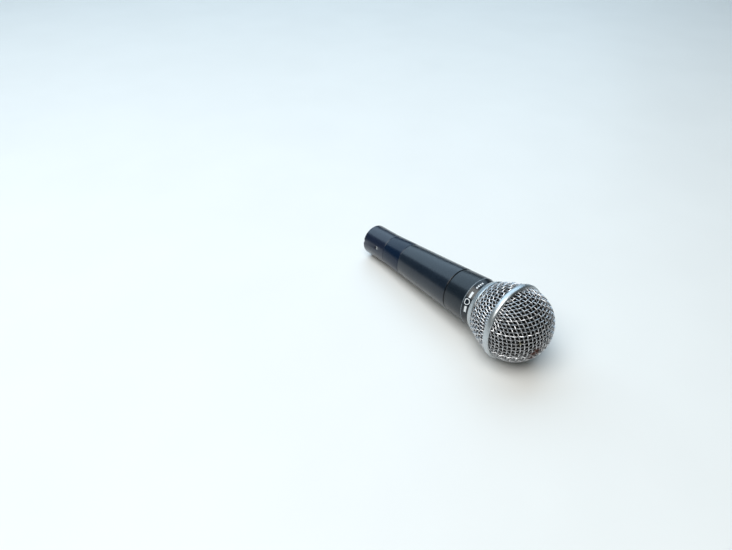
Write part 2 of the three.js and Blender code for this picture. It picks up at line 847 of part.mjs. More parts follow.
add('handle', handle(), 'enamel');
add('plug_insert', insert(), 'blackPlastic');
pinAzimuths.forEach((azimuth, i) => add(`contact_pin_${i + 1}`, pin(azimuth), 'gold'));
add('ground_spring', groundSpring(), 'copper');
add('set_screw', setScrew(), 'steel');
add('transformer_core', transformerCore(), 'core');
add('transformer_bobbin', transformerBobbin(), 'greyPlastic');
add('transformer_winding', transformerWinding(), 'copper');
add('transformer_sleeve', transformerSleeve(), 'potting');
add('cartridge_lead_1', cartridgeLead(1), 'yellowWire');
add('cartridge_lead_2', cartridgeLead(-1), 'greenWire');
add('output_lead_1', outputLead(1, pinAzimuths[1]), 'redWire');
add('output_lead_2', outputLead(-1, pinAzimuths[2]), 'blackWire');
add('collar', collar(), 'enamelBevel');
add('shock_mount', shockMount(), 'rubber');
add('mount_ring', mountRing(), 'dullSteel');
add('cartridge_frame', cartridgeFrame(), 'greyPlastic');
add('port_felt', portFelt(), 'felt');
add('yoke_cup', yokeCup(), 'dullSteel');
add('magnet', magnet(), 'steel');
add('pole_piece', polePiece(), 'dullSteel');
add('top_plate', topPlate(), 'dullSteel');
add('voice_coil', voiceCoil(), 'copper');
add('diaphragm', diaphragm(), 'film');
add('clamp_ring', clampRing(), 'greyPlastic');
add('resonator_cap', resonatorCap(), 'blackPlastic');
add('front_screen', frontScreen(), 'felt');
add('rear_chamber', rearChamber(), 'dullSteel');
add('terminal_board', terminalBoard(), 'board');
add('terminal_tag_1', tag(1, 0), 'gold');
add('terminal_tag_2', tag(-1, 0), 'gold');
add('grille_ring', grilleRing(), 'steel');
add('grille_rear_mesh', rearMesh(), 'mesh');
add('grille_band', band(), 'steel');
add('grille_front_mesh', frontMesh(), 'mesh');
add('windscreen_foam', windscreenFoam(), 'foam');

// The microphone rests on its tail rim and on the crown of the band, so it tilts head up
const bandContact = (bandStart + bandEnd) / 2 - bandCrown / 2;
const flatFactor = Math.cos(Math.PI / outerSides);
microphone.rotation.y = -Math.atan2((bandRadius - tailRadius) * flatFactor, bandContact - rimChamfer);

const part = new THREE.Group();
part.add(microphone);

// The origin is under the middle of the microphone, on the surface that it lies on
part.updateMatrixWorld(true);
const bounds = new THREE.Box3().setFromObject(part, true);
microphone.position.set(
  -(bounds.min.x + bounds.max.x) / 2, -(bounds.min.y + bounds.max.y) / 2, -bounds.min.z);

export default part;
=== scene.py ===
import json
import math

import bmesh
import bpy
import numpy as np
from mathutils import Matrix, Vector


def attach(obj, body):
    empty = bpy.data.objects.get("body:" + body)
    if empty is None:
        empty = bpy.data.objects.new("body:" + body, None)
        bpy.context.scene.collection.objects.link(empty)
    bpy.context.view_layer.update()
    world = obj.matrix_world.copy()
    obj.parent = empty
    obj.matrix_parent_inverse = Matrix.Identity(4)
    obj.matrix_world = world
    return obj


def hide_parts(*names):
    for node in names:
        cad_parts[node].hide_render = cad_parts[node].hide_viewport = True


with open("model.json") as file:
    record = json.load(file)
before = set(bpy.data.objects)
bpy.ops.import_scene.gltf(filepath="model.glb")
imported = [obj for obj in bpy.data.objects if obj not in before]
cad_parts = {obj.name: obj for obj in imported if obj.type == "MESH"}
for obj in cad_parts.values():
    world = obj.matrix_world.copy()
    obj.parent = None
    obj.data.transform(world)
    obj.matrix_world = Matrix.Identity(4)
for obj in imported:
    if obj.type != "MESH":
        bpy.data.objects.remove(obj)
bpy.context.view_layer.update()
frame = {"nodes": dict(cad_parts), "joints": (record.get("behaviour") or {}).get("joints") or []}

# ---- How the microphone lies ----------------------------------------------------------------
# The microphone lies on a table on its tail rim and on the band round its grille, head up.
# Sizes are in millimetres in its own frame: stations count along its line from the tail face,
# and azimuths turn about that line from the row's +Y towards +Z.
MM = 0.001
COLLAR_FRONT = 121.0
grille_screw = next(j for j in frame["joints"] if j["name"] == "grille_unscrew")
line = Vector(grille_screw["axis"]).normalized()
tilt = math.asin(line.z)
tail_centre = Vector(grille_screw["pos_m"]) - line * COLLAR_FRONT * MM
lying = Matrix.Translation(tail_centre) @ Matrix.Rotation(-tilt, 4, "Y") @ Matrix.Scale(MM, 4)

# ---- Camera ---------------------------------------------------------------------------------
# A wide lens close to the grille, above the table and in front of the head, held level. Its
# place is in metres, and its aim is the way it looks.
CAMERA_PLACE = (0.19728, -0.22203, 0.26020)
CAMERA_AIM = Vector((-0.61879, 0.47518, -0.62554))
camera_data = bpy.data.cameras.new("camera")
camera_data.lens = 27.16
camera_data.sensor_width = 36.0
camera_data.clip_start = 0.01
camera = bpy.data.objects.new("camera", camera_data)
camera.location = CAMERA_PLACE
camera.rotation_mode = "QUATERNION"
camera.rotation_quaternion = CAMERA_AIM.to_track_quat("-Z", "Y")
bpy.context.collection.objects.link(camera)
bpy.context.scene.camera = camera


# ---- Table ----------------------------------------------------------------------------------
# A plain white laminate table, very slightly warm, with a satin gloss. It is one flat face that
# runs far past the microphone on every side.
class Signal:
    """A socket of a node, so that sums on it are written as plain arithmetic."""

    def __init__(self, tree, socket):
        self.tree = tree
        self.socket = socket

    def node(self, kind, settings=None, inputs=None, output=0):
        """A node with its settings made first, then its inputs from values or signals."""
        made = self.tree.nodes.new(kind)
        for name, value in (settings or {}).items():
            setattr(made, name, value)
        for name, value in (inputs or {}).items():
            if isinstance(value, Signal):
                self.tree.links.new(value.socket, made.inputs[name])
            else:
                made.inputs[name].default_value = value
        return Signal(self.tree, made.outputs[output])

    def maths(self, operation, *terms):
        """A sum of an operation on values or signals."""
        return self.node("ShaderNodeMath", {"operation": operation}, dict(enumerate(terms)))

    def __add__(self, other):
        return self.maths("ADD", self, other)

    def __sub__(self, other):
        return self.maths("SUBTRACT", self, other)

    def __mul__(self, other):
        return self.maths("MULTIPLY", self, other)

    def __rsub__(self, other):
        return self.maths("SUBTRACT", other, self)

    def __rtruediv__(self, other):
        return self.maths("DIVIDE", other, self)

    def __pow__(self, other):
        return self.maths("POWER", self, other)

    __radd__ = __add__
    __rmul__ = __mul__

    def absolute(self):
        """The signal without its sign."""
        return self.maths("ABSOLUTE", self)

    def most(self, other):
        """The larger of two signals."""
        return self.maths("MAXIMUM", self, other)

    def wave(self, rate):
        """Ripples of -1 to 1, at a rate in radians a millimetre."""
        return self.maths("SINE", self * rate)

    def fade(self, start, end):
        """0 at start and 1 at end, smoothly, and level beyond them."""
        return self.node(
            "ShaderNodeMapRange", {"interpolation_type": "SMOOTHSTEP"},
            {0: self, 1: start, 2: end, 3: 0.0, 4: 1.0})

    def tint(self, low, high):
        """A colour from low, where the signal is 0, to high, where it is 1."""
        ends = {}
        for slot, colour in ((6, low), (7, high)):
            ends[slot] = colour if isinstance(colour, Signal) else (*colour, 1.0)
        return self.node("ShaderNodeMix", {"data_type": "RGBA"}, {0: self, **ends}, output=2)

    def noise(self, scale, detail=3.0, rough=0.5, stretch=(1.0, 1.0, 1.0)):
        """Noise over a place signal, in grains a millimetre, 0 to 1."""
        spread = self.node("ShaderNodeVectorMath", {"operation": "MULTIPLY"}, {0: self, 1: stretch})
        sizes = {"Vector": spread, "Scale": scale, "Detail": detail, "Roughness": rough}
        return self.node("ShaderNodeTexNoise", {}, sizes)

    def cells(self, scale):
        """Distance from the middles of random cells, in cells a unit of a place signal."""
        return self.node(
            "ShaderNodeTexVoronoi", {"feature": "F1"}, {"Vector": self, "Scale": scale})


class Finish:
    """A material with its surface shader, and the places along the microphone to paint it by."""

    def __init__(self, name, **constants):
        self.material = bpy.data.materials.new(name)
        self.material.use_nodes = True
        self.tree = self.material.node_tree
        self.shader = self.tree.nodes["Principled BSDF"]
        for socket, value in constants.items():
            level = (*value, 1.0) if isinstance(value, tuple) else value
            self.shader.inputs[socket.replace("_", " ")].default_value = level
        start = Signal(self.tree, self.tree.nodes.new("ShaderNodeTexCoord").outputs["Object"])
        self.place = start.node("ShaderNodeMapping", {"vector_type": "TEXTURE"}, {
            "Vector": start, "Location": tail_centre, "Rotation": (0.0, -tilt, 0.0),
            "Scale": (MM, MM, MM)})
        self.station, self.across, self.height = [
            self.place.node("ShaderNodeSeparateXYZ", {}, {0: self.place}, output=axis)
            for axis in range(3)]
        self.radius = (self.across * self.across + self.height * self.height) ** 0.5
        self.azimuth = self.height.maths("ARCTAN2", self.height, self.across)

    def paint(self, **signals):
        """Links a signal to each named socket of the shader."""
        for socket, signal in signals.items():
            self.tree.links.new(signal.socket, self.shader.inputs[socket.replace("_", " ")])

    def bumps(self, height, depth, strength=1.0):
        """Relief from a height signal, depth millimetres deep."""
        relief = height.node("ShaderNodeBump", {}, {
            "Height": height, "Distance": depth * MM, "Strength": strength})
        self.tree.links.new(relief.socket, self.shader.inputs["Normal"])

    def spot(self, station, radius, azimuth, near, far):
        """1 within near millimetres of a point on the microphone, 0 beyond far."""
        turn = math.radians(azimuth)
        point = (station, radius * math.cos(turn), radius * math.sin(turn))
        distance = self.place.node(
            "ShaderNodeVectorMath", {"operation": "DISTANCE"}, {0: self.place, 1: point}, output=1)
        return distance.fade(far, near)


TABLE_HALF = 5.0
LAMINATE_LOW = (0.765, 0.758, 0.742)
LAMINATE_HIGH = (0.785, 0.778, 0.762)
table_mesh = bpy.data.meshes.new("table")
table_corners = [
    (x * TABLE_HALF, y * TABLE_HALF, 0.0) for x, y in ((-1, -1), (1, -1), (1, 1), (-1, 1))]
table_mesh.from_pydata(table_corners, [], [(0, 1, 2, 3)])
table = bpy.data.objects.new("table", table_mesh)
bpy.context.collection.objects.link(table)
laminate = Finish("white_laminate", Roughness=0.42, Specular_IOR_Level=0.35)
cloud = laminate.place.noise(0.012, 2.0)
laminate.paint(Base_Color=cloud.fade(0.2, 0.8).tint(LAMINATE_LOW, LAMINATE_HIGH))
table_mesh.materials.append(laminate.material)

# ---- Studio light ---------------------------------------------------------------------------
# A wide cool window light high beyond the tail, which the handle mirrors, and a soft key light at
# the near side, in a dim room.
ROOM_COLOUR = (0.52, 0.78, 0.78, 1.0)
ROOM_STRENGTH = 0.055
bpy.context.scene.view_settings.view_transform = "Standard"


def soft_light(name, place, size, power, colour):
    """A flat soft light, its place and size in metres, that faces the middle of the table."""
    data = bpy.data.lights.new(name, "AREA")
    data.shape = "RECTANGLE"
    data.size, data.size_y = size
    data.energy = power
    data.color = colour
    light = bpy.data.objects.new(name, data)
    light.location = place
    light.rotation_mode = "QUATERNION"
    light.rotation_quaternion = (-Vector(place)).to_track_quat("-Z", "Y")
    bpy.context.collection.objects.link(light)


soft_light(
    "window", place=(-1.00, 0.45, 1.15), size=(2.6, 1.6), power=25.5, colour=(0.61, 0.82, 1.0))
soft_light(
    "key", place=(0.15, -0.72, 1.55), size=(1.5, 1.5), power=33.5, colour=(0.98, 0.98, 0.95))
room = bpy.data.worlds.new("room")
room.use_nodes = True
room_shader = room.node_tree.nodes["Background"]
room_shader.inputs["Color"].default_value = ROOM_COLOUR
room_shader.inputs["Strength"].default_value = ROOM_STRENGTH
bpy.context.scene.world = room

# ---- Handle ---------------------------------------------------------------------------------
# A die-cast zinc tube with a straight tail and a long taper, in dark blue-grey baked enamel. The
# plug socket is bored in the tail, with a keyway, a locating notch and the set screw's hole.
SEAT_GAP = 0.3
TAIL_RADIUS = 11.6
TAIL_STRAIGHT = 21.4
HANDLE_LENGTH = 91.8
SEAM_RADIUS = 15.35
SEAM_CHAMFER = 0.35
PAINT_LINES = (23.6, 41.8)
PAINT_LINE_DEPTH = 0.22
PAINT_LINE_HALF = 0.3
TAPER_STATIONS = (60.0, 75.0)
SEAM_STATION = 91.95
HANDLE_WALL = 2.3
RIM_CHAMFER = 0.5
SOCKET_RADIUS = 8.0
SOCKET_DEPTH = 13.6
INSERT_END = 21.0
SHOULDER_END = 23.8
SHOULDER_BORE = 6.8
THREAD_BORE = 12.7
THREAD_FLOOR = 81.0
KEY_AZIMUTH = 163.0
KEY_WIDTH = 4.2
KEY_HEIGHT = 1.3
NOTCH_WIDTH = 1.8
NOTCH_DEPTH = 1.0
SCREW_STATION = 15.45
SCREW_HOLE = 1.55
ENAMEL = (0.0065, 0.0125, 0.0230)
CLOUDED_ENAMEL = (0.0085, 0.0145, 0.0250)
TAIL_ENAMEL = (0.0085, 0.0140, 0.0320)
TAPE_ENAMEL = (0.0030, 0.0110, 0.0300)
SCUFF_GREY = (0.060, 0.068, 0.080)
SEAM_GRIME = (0.006, 0.007, 0.009)
BARE_ZINC = (0.55, 0.56, 0.58)
TINY = 1e-6
MERGE_REACH = 1e-5
CUT_REACH = 5e-4
EDGE_ANGLE = math.radians(50)
SMOOTH_ANGLE = math.radians(38)
TOOL_CLEAR = 2.0
TOOL_START = 5.0


def rounded(outline, corner, closed):
    """The outline with its corners replaced by small arcs."""
    points = [Vector(p) for p in outline]
    count = len(points)
    soft = []
    for i, point in enumerate(points):
        before, after = points[i - 1], points[(i + 1) % count]
        at_end = not closed and i in (0, count - 1)
        reach = min(corner, 0.4 * (before - point).length, 0.4 * (after - point).length)
        if at_end or point.x < TINY or reach < 0.01:
            soft.append(point)
            continue
        start = point + (before - point).normalized() * reach
        end = point + (after - point).normalized() * reach
        for t in (0.0, 0.33, 0.67, 1.0):
            soft.append(start * (1 - t) ** 2 + point * 2 * t * (1 - t) + end * t * t)
    return soft


def sealed(mesh, reach):
    """Merges corners within a reach, drops faces of no size and turns the rest outwards."""
    shape = bmesh.new()
    shape.from_mesh(mesh)
    bmesh.ops.remove_doubles(shape, verts=shape.verts, dist=reach)
    bmesh.ops.dissolve_degenerate(shape, dist=reach, edges=shape.edges)
    bmesh.ops.recalc_face_normals(shape, faces=shape.faces)
    shape.to_mesh(mesh)
    shape.free()


def solid(name, corners, faces):
    """A new piece from corners in the microphone's frame."""
    mesh = bpy.data.meshes.new(name)
    mesh.from_pydata([tuple(c) for c in corners], [], faces)
    sealed(mesh, MERGE_REACH)
    piece = bpy.data.objects.new(name, mesh)
    bpy.context.collection.objects.link(piece)
    return piece


def turned(name, outline, sides=96, corner=0.12, centre=(0.0, 0.0)):
    """A turned piece from an outline of (radius, station) points."""
    closed = outline[0][0] > 0 or outline[-1][0] > 0
    path = rounded(outline, corner, closed)
    corners, rows, faces = [], [], []
    for radius, station in path:
        count = sides if radius > TINY else 1
        rows.append([len(corners) + k for k in range(count)])
        for k in range(count):
            turn = 2 * math.pi * k / sides
            across, height = radius * math.cos(turn), radius * math.sin(turn)
            corners.append((station, centre[0] + across, centre[1] + height))
    pairs = list(zip(rows, rows[1:])) + ([(rows[-1], rows[0])] if closed else [])
    for a, b in pairs:
        for k in range(sides):
            ring = [a[k % len(a)], a[(k + 1) % len(a)], b[(k + 1) % len(b)], b[k % len(b)]]
            face = list(dict.fromkeys(ring))
            if len(face) > 2:
                faces.append(face)
    return solid(name, corners, faces)


def block(start, end, half_width, low, high, azimuth=90.0):
    """A block between two stations, with its width across the radius it stands on."""
    turn = math.radians(azimuth)
    out, side = Vector((math.cos(turn), math.sin(turn))), Vector((-math.sin(turn), math.cos(turn)))
    left, right = -half_width, half_width
    corners = [
        (station, *(out * level + side * width)) for station in (start, end)
        for level, width in ((low, left), (high, left), (high, right), (low, right))]
    faces = [(0, 1, 2, 3), (4, 5, 6, 7), (0, 1, 5, 4), (1, 2, 6, 5), (2, 3, 7, 6), (3, 0, 4, 7)]
    return solid("block", corners, faces)


def spoke(radius, low, high, station, azimuth, sides=40):
    """A round bar along a radius of the microphone."""
    turn = math.radians(azimuth)
    out = Vector((0, math.cos(turn), math.sin(turn)))
    side = Vector((0, -math.sin(turn), math.cos(turn)))
    corners = []
    for level in (low, high):
        for a in np.linspace(0, 2 * math.pi, sides, endpoint=False):
            rim = Vector((station + radius * math.cos(a), 0, 0)) + side * radius * math.sin(a)
            corners.append(rim + out * level)
    faces = [list(range(sides)), list(range(sides, 2 * sides))]
    faces += [(k, (k + 1) % sides, sides + (k + 1) % sides, sides + k) for k in range(sides)]
    return solid("spoke", corners, faces)


def applied(piece):
    """The piece's mesh with its modifiers worked in and taken off."""
    bpy.context.view_layer.update()
    shown = piece.evaluated_get(bpy.context.evaluated_depsgraph_get())
    made = bpy.data.meshes.new_from_object(shown)
    piece.modifiers.clear()
    old, piece.data = piece.data, made
    bpy.data.meshes.remove(old)
    made.name = piece.name
    return piece


def cut(piece, *tools, edge=0.12):
    """The piece with tools cut out of it and the cut edges broken."""
    for tool in tools:
        step = piece.modifiers.new("cut", "BOOLEAN")
        step.operation = "DIFFERENCE"
        step.solver = "EXACT"
        step.object = tool
    applied(piece)
    for tool in tools:
        bpy.data.objects.remove(tool)
    if edge:
        step = piece.modifiers.new("edge", "BEVEL")
        step.width = edge
        step.segments = 2
        step.limit_method = "ANGLE"
        step.angle_limit = EDGE_ANGLE
        step.use_clamp_overlap = True
        applied(piece)
    sealed(piece.data, CUT_REACH)
    return piece


def fit(piece, body, slot, finish, *nodes):
    """Lays a finished piece in its place, dresses it and fixes it to its body."""
    piece.data.transform(lying)
    piece.data.shade_smooth()
    piece.data.set_sharp_from_angle(angle=SMOOTH_ANGLE)
    piece.data.materials.clear()
    piece.data.materials.append(finish.material)
    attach(piece, body)
    if nodes:
        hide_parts(*nodes)
    return piece


enamel = Finish("blue_grey_enamel", IOR=1.38, Coat_Roughness=0.22)
enamel_grain = enamel.place.noise(5.5, 4.0, 0.6)
enamel_cloud = enamel.place.noise(0.06, 3.0, 0.55)
past_tail = enamel.station.fade(PAINT_LINES[0] - 0.15, PAINT_LINES[0] + 0.15)
past_tape = enamel.station.fade(PAINT_LINES[1] - 0.15, PAINT_LINES[1] + 0.10)
tape_band = past_tail * (1 - past_tape)
scuff = enamel.place.noise(0.55, 6.0, 0.72, (1.0, 0.35, 0.35)).fade(0.66, 0.80)
rim_chip = enamel.spot(0.3, 11.5, 163.5, 0.7, 1.5).most(enamel.spot(0.2, 8.6, 163.0, 0.6, 1.6))
rim_edges = enamel.radius.fade(11.05, 11.45).most(enamel.radius.fade(8.5, 8.15))
worn_patches = enamel.place.noise(0.7, 5.0, 0.75).fade(0.50, 0.62)
rim_wear = (1 - enamel.station.fade(0.25, 0.8)) * rim_edges * worn_patches
bare = rim_chip.most(rim_wear * 0.8)
seam_dust = (enamel.station - SEAM_STATION).absolute().fade(0.75, 0.3)
base = enamel_cloud.fade(0.25, 0.75).tint(ENAMEL, CLOUDED_ENAMEL)
base = (1 - past_tail).tint(base, TAIL_ENAMEL)
base = tape_band.tint(base, TAPE_ENAMEL)
base = (scuff * 0.2).tint(base, SCUFF_GREY)
base = (seam_dust * 0.7).tint(base, SEAM_GRIME)
enamel.paint(
    Base_Color=bare.tint(base, BARE_ZINC),
    Metallic=bare * 0.9,
    Coat_Weight=0.45 - tape_band * 0.36,
    Roughness=0.22 + enamel_grain * 0.06 + enamel_cloud * 0.06 - tape_band * 0.04 + scuff * 0.10)
enamel.bumps(enamel_grain + enamel.place.noise(1.4, 2.0) * 0.8, 0.012, 0.35)


def handle_radius(station):
    """Outer radius of the handle at a station."""
    run = max(0.0, station - TAIL_STRAIGHT) / (HANDLE_LENGTH - TAIL_STRAIGHT)
    return TAIL_RADIUS + (SEAM_RADIUS - TAIL_RADIUS) * run


handle_taper = [(handle_radius(TAIL_STRAIGHT), TAIL_STRAIGHT)]
for line_station in PAINT_LINES:
    for step, sink in ((-PAINT_LINE_HALF, 0.0), (0.0, PAINT_LINE_DEPTH), (PAINT_LINE_HALF, 0.0)):
        handle_taper.append((handle_radius(line_station + step) - sink, line_station + step))
handle_taper += [(handle_radius(station), station) for station in TAPER_STATIONS]
handle = turned("handle_casting", [
    (TAIL_RADIUS - RIM_CHAMFER, 0.0),
    (TAIL_RADIUS, RIM_CHAMFER),
    *handle_taper,
    (SEAM_RADIUS, HANDLE_LENGTH - SEAM_CHAMFER),
    (SEAM_RADIUS - SEAM_CHAMFER, HANDLE_LENGTH),
    (THREAD_BORE, HANDLE_LENGTH),
    (THREAD_BORE, THREAD_FLOOR),
    (handle_radius(THREAD_FLOOR) - HANDLE_WALL, THREAD_FLOOR),
    (handle_radius(SHOULDER_END) - HANDLE_WALL, SHOULDER_END),
    (SHOULDER_BORE, SHOULDER_END),
    (SHOULDER_BORE, INSERT_END + SEAT_GAP),
    (SOCKET_RADIUS, INSERT_END + SEAT_GAP),
    (SOCKET_RADIUS, 0.0),
], sides=160, corner=0.22)
past_tail_wall = TAIL_RADIUS + TOOL_CLEAR
cut(handle,
    block(-TOOL_CLEAR, SOCKET_DEPTH, KEY_WIDTH / 2, 0.0, SOCKET_RADIUS + KEY_HEIGHT, KEY_AZIMUTH),
    block(-TOOL_CLEAR, NOTCH_DEPTH, NOTCH_WIDTH / 2, TOOL_START, past_tail_wall, KEY_AZIMUTH),
    spoke(SCREW_HOLE, TOOL_START, past_tail_wall, SCREW_STATION, KEY_AZIMUTH))
fit(handle, "handle", "enamel", enamel, "handle")

# ---- Plug insert and contact pins -----------------------------------------------------------
# A disc of black moulded plastic pressed into the socket, with three gold-plated brass pins set in
# it: two beside the key and one opposite. Each pin has a rounded tip and a solder cup behind.
PIN_RADIUS = 1.2
PIN_CIRCLE = 4.05
PIN_TIP = 1.0
PIN_END = 24.4
PIN_TURNS = (60.0, -60.0, 180.0)
PIN_FIT = 0.08
CUP_RADIUS = 0.75
CUP_DEPTH = 2.0
INSERT_RADIUS = SOCKET_RADIUS - 0.2
INSERT_FACE = SOCKET_DEPTH + 0.35


def plain_finish(name, low, high, rough, grain, depth, **constants):
    """A finish of one colour that clouds a little from low to high, with a fine grain."""
    made = Finish(name, **constants)
    fine = made.place.noise(grain, 4.0, 0.6)
    made.paint(
        Base_Color=made.place.noise(grain * 0.12, 3.0).fade(0.3, 0.7).tint(low, high),
        Roughness=rough - 0.06 + fine * 0.12)
    made.bumps(fine, depth, 0.5)
    return made


def around(radius, azimuth):
    """A point on a circle of the cross-section."""
    turn = math.radians(azimuth)
    return radius * math.cos(turn), radius * math.sin(turn)


def flat_ring(inner, outer, start, end):
    """The outline of a plain ring between two radii and two stations, or of a disc."""
    return [(inner, start), (outer, start), (outer, end), (inner, end)]


def rod(radius, start, end, centre=(0.0, 0.0), sides=32):
    """A plain round bar along the microphone."""
    return turned("rod", flat_ring(0.0, radius, start, end), sides, 0.0, centre)


black_plastic = plain_finish(
    "black_moulding", (0.010, 0.010, 0.011), (0.016, 0.016, 0.017), 0.44, 7.0, 0.015)
gold = plain_finish(
    "gold_plate", (0.62, 0.40, 0.13), (0.74, 0.50, 0.19), 0.24, 5.0, 0.004, Metallic=1.0)
pin_azimuths = [KEY_AZIMUTH + turn for turn in PIN_TURNS]
plug_insert = turned("plug_insert_moulding", [
    (0.0, INSERT_FACE),
    (6.3, INSERT_FACE),
    (6.6, SOCKET_DEPTH),
    (INSERT_RADIUS, SOCKET_DEPTH),
    (INSERT_RADIUS, INSERT_END),
    (0.0, INSERT_END),
], sides=120)
pin_tools = [
    rod(PIN_RADIUS + PIN_FIT, 10.0, INSERT_END + 1, around(PIN_CIRCLE, azimuth))
    for azimuth in pin_azimuths]
cut(plug_insert, *pin_tools,
    spoke(SCREW_HOLE, SOCKET_RADIUS - 1.2, TAIL_RADIUS, SCREW_STATION, KEY_AZIMUTH))
fit(plug_insert, "handle", "black_plastic", black_plastic, "plug_insert")
for number, azimuth in enumerate(pin_azimuths, 1):
    pin = turned(f"pin_{number}_turning", [
        (0.0, PIN_TIP),
        (0.55, PIN_TIP + 0.08),
        (0.95, PIN_TIP + 0.38),
        (PIN_RADIUS, PIN_TIP + 0.95),
        (PIN_RADIUS, PIN_END),
        (CUP_RADIUS, PIN_END),
        (CUP_RADIUS, PIN_END - CUP_DEPTH),
        (0.0, PIN_END - CUP_DEPTH),
    ], sides=40, corner=0.25, centre=around(PIN_CIRCLE, azimuth))
    fit(pin, "handle", "gold", gold, f"contact_pin_{number}")

# ---- Set screw and ground spring ------------------------------------------------------------
# A slotted steel screw holds the insert, sunk a little in the handle. Behind the insert, a bent
# strip of brass ties the first pin to the casting.
SCREW_TOP = TAIL_RADIUS - 0.6
SCREW_RADIUS = 1.25
SCREW_SLOT_HALF = 0.25
SCREW_SLOT_DEPTH = 0.8
bright_steel = plain_finish(
    "bright_steel", (0.60, 0.61, 0.62), (0.72, 0.73, 0.74), 0.20, 4.0, 0.006, Metallic=1.0)
brass = plain_finish(
    "spring_brass", (0.50, 0.33, 0.12), (0.60, 0.42, 0.17), 0.33, 3.0, 0.006, Metallic=1.0)
set_screw = spoke(
    SCREW_RADIUS, SOCKET_RADIUS - SEAT_GAP, SCREW_TOP, SCREW_STATION, KEY_AZIMUTH)
slot_tool = block(
    SCREW_STATION - 3, SCREW_STATION + 3, SCREW_SLOT_HALF, SCREW_TOP - SCREW_SLOT_DEPTH,
    SCREW_TOP + 1, KEY_AZIMUTH)
cut(set_screw, slot_tool, edge=0.1)
set_screw.name = "set_screw_turning"
fit(set_screw, "set_screw", "bright_steel", bright_steel, "set_screw")


def dress(node, finish):
    """Puts a finish on a CAD node whose own shape is right."""
    mesh = frame["nodes"][node].data
    mesh.materials.clear()
    mesh.materials.append(finish.material)


dress("ground_spring", brass)

# ---- Transformer ----------------------------------------------------------------------------
# A small output transformer: stamped iron laminations round a moulded spool of enamelled copper
# wire, held in the handle by a sleeve of pale potting resin.
laminations = Finish("core_laminations", Metallic=1.0)
sheet_edges = laminations.height.wave(9.0)
core_cloud = laminations.place.noise(0.6, 5.0, 0.7)
laminations.paint(
    Base_Color=core_cloud.tint((0.16, 0.15, 0.15), (0.30, 0.29, 0.28)),
    Roughness=0.45 + core_cloud * 0.2)
laminations.bumps(sheet_edges, 0.04, 0.6)
copper_winding = Finish("copper_winding", Metallic=1.0)
# The winding is painted darker in the grooves between its turns: painted shade that follows the
# relief.
strand_groove_shade = copper_winding.station.wave(31.0).absolute()
copper_winding.paint(
    Base_Color=(1 - strand_groove_shade).tint((0.10, 0.032, 0.012), (0.55, 0.20, 0.07)),
    Roughness=0.30 + copper_winding.place.noise(2.0) * 0.12)
copper_winding.bumps(1 - strand_groove_shade, 0.06, 0.8)
grey_plastic = plain_finish(
    "grey_moulding", (0.055, 0.058, 0.062), (0.075, 0.078, 0.082), 0.46, 5.0, 0.012)
potting = plain_finish(
    "potting_resin", (0.38, 0.29, 0.15), (0.50, 0.40, 0.23), 0.38, 1.6, 0.03, Coat_Weight=0.2)
dress("transformer_core", laminations)
dress("transformer_bobbin", grey_plastic)
dress("transformer_winding", copper_winding)
dress("transformer_sleeve", potting)

# ---- Leads ----------------------------------------------------------------------------------
# Four short insulated wires: two from the transformer back to the solder cups, and two forward,
# with slack for the floating cartridge, to its tags. Smooth vinyl over stranded copper.
LEAD_RADIUS = 0.55


def nodes_tree(name, inputs):
    """An empty geometry tree with named inputs, and the signals of its inputs."""
    tree = bpy.data.node_groups.new(name, "GeometryNodeTree")
    tree.interface.new_socket("Geometry", in_out="INPUT", socket_type="NodeSocketGeometry")
    for label, kind in inputs:
        tree.interface.new_socket(label, in_out="INPUT", socket_type="NodeSocket" + kind)
    tree.interface.new_socket("Geometry", in_out="OUTPUT", socket_type="NodeSocketGeometry")
    entry = tree.nodes.new("NodeGroupInput")
    return tree, {socket.name: Signal(tree, socket) for socket in entry.outputs if socket.name}


def end_tree(tree, shape, material):
    """Ends a geometry tree with plain geometry in one material."""
    real = shape.node("GeometryNodeRealizeInstances", {}, {0: shape})
    dressed = real.node("GeometryNodeSetMaterial", {}, {"Geometry": real, "Material": material})
    tree.links.new(dressed.socket, tree.nodes.new("NodeGroupOutput").inputs[0])


def grown(piece, tree, **values):
    """Runs a geometry tree on a piece with its inputs set, and keeps the result as its mesh."""
    step = piece.modifiers.new(tree.name, "NODES")
    step.node_group = tree
    for item in tree.interface.items_tree:
        label = item.name.replace(" ", "_")
        if item.in_out == "INPUT" and label in values:
            step[item.identifier] = values[label]
    return applied(piece)


wire_tree, wire_in = nodes_tree("drawn_wire", [
    ("Wire Radius", "Float"), ("Rise", "Float"), ("Sides", "Int"), ("Steps", "Int"),
    ("Material", "Material")])
lift = wire_in["Rise"].node(
    "GeometryNodeInputNamedAttribute", {"data_type": "FLOAT_VECTOR"}, {"Name": "lift"})
risen = lift.node(
    "ShaderNodeVectorMath", {"operation": "SCALE"}, {0: lift, "Scale": wire_in["Rise"]})
wires = lift.node("GeometryNodeMeshToCurve", {}, {0: wire_in["Geometry"]})
crimped = wires.node("GeometryNodeSetPosition", {}, {"Geometry": wires, "Offset": risen})
flowing = crimped.node(
    "GeometryNodeCurveSplineType", {"spline_type": "CATMULL_ROM"}, {"Curve": crimped})
fine = flowing.node("GeometryNodeSetSplineResolution", {}, {
    "Geometry": flowing, "Resolution": wire_in["Steps"]})
wire_profile = fine.node("GeometryNodeCurvePrimitiveCircle", {}, {
    "Resolution": wire_in["Sides"], "Radius": wire_in["Wire Radius"]})
drawn = fine.node("GeometryNodeCurveToMesh", {}, {
    "Curve": fine, "Profile Curve": wire_profile, "Fill Caps": True})
end_tree(wire_tree, drawn, wire_in["Material"])


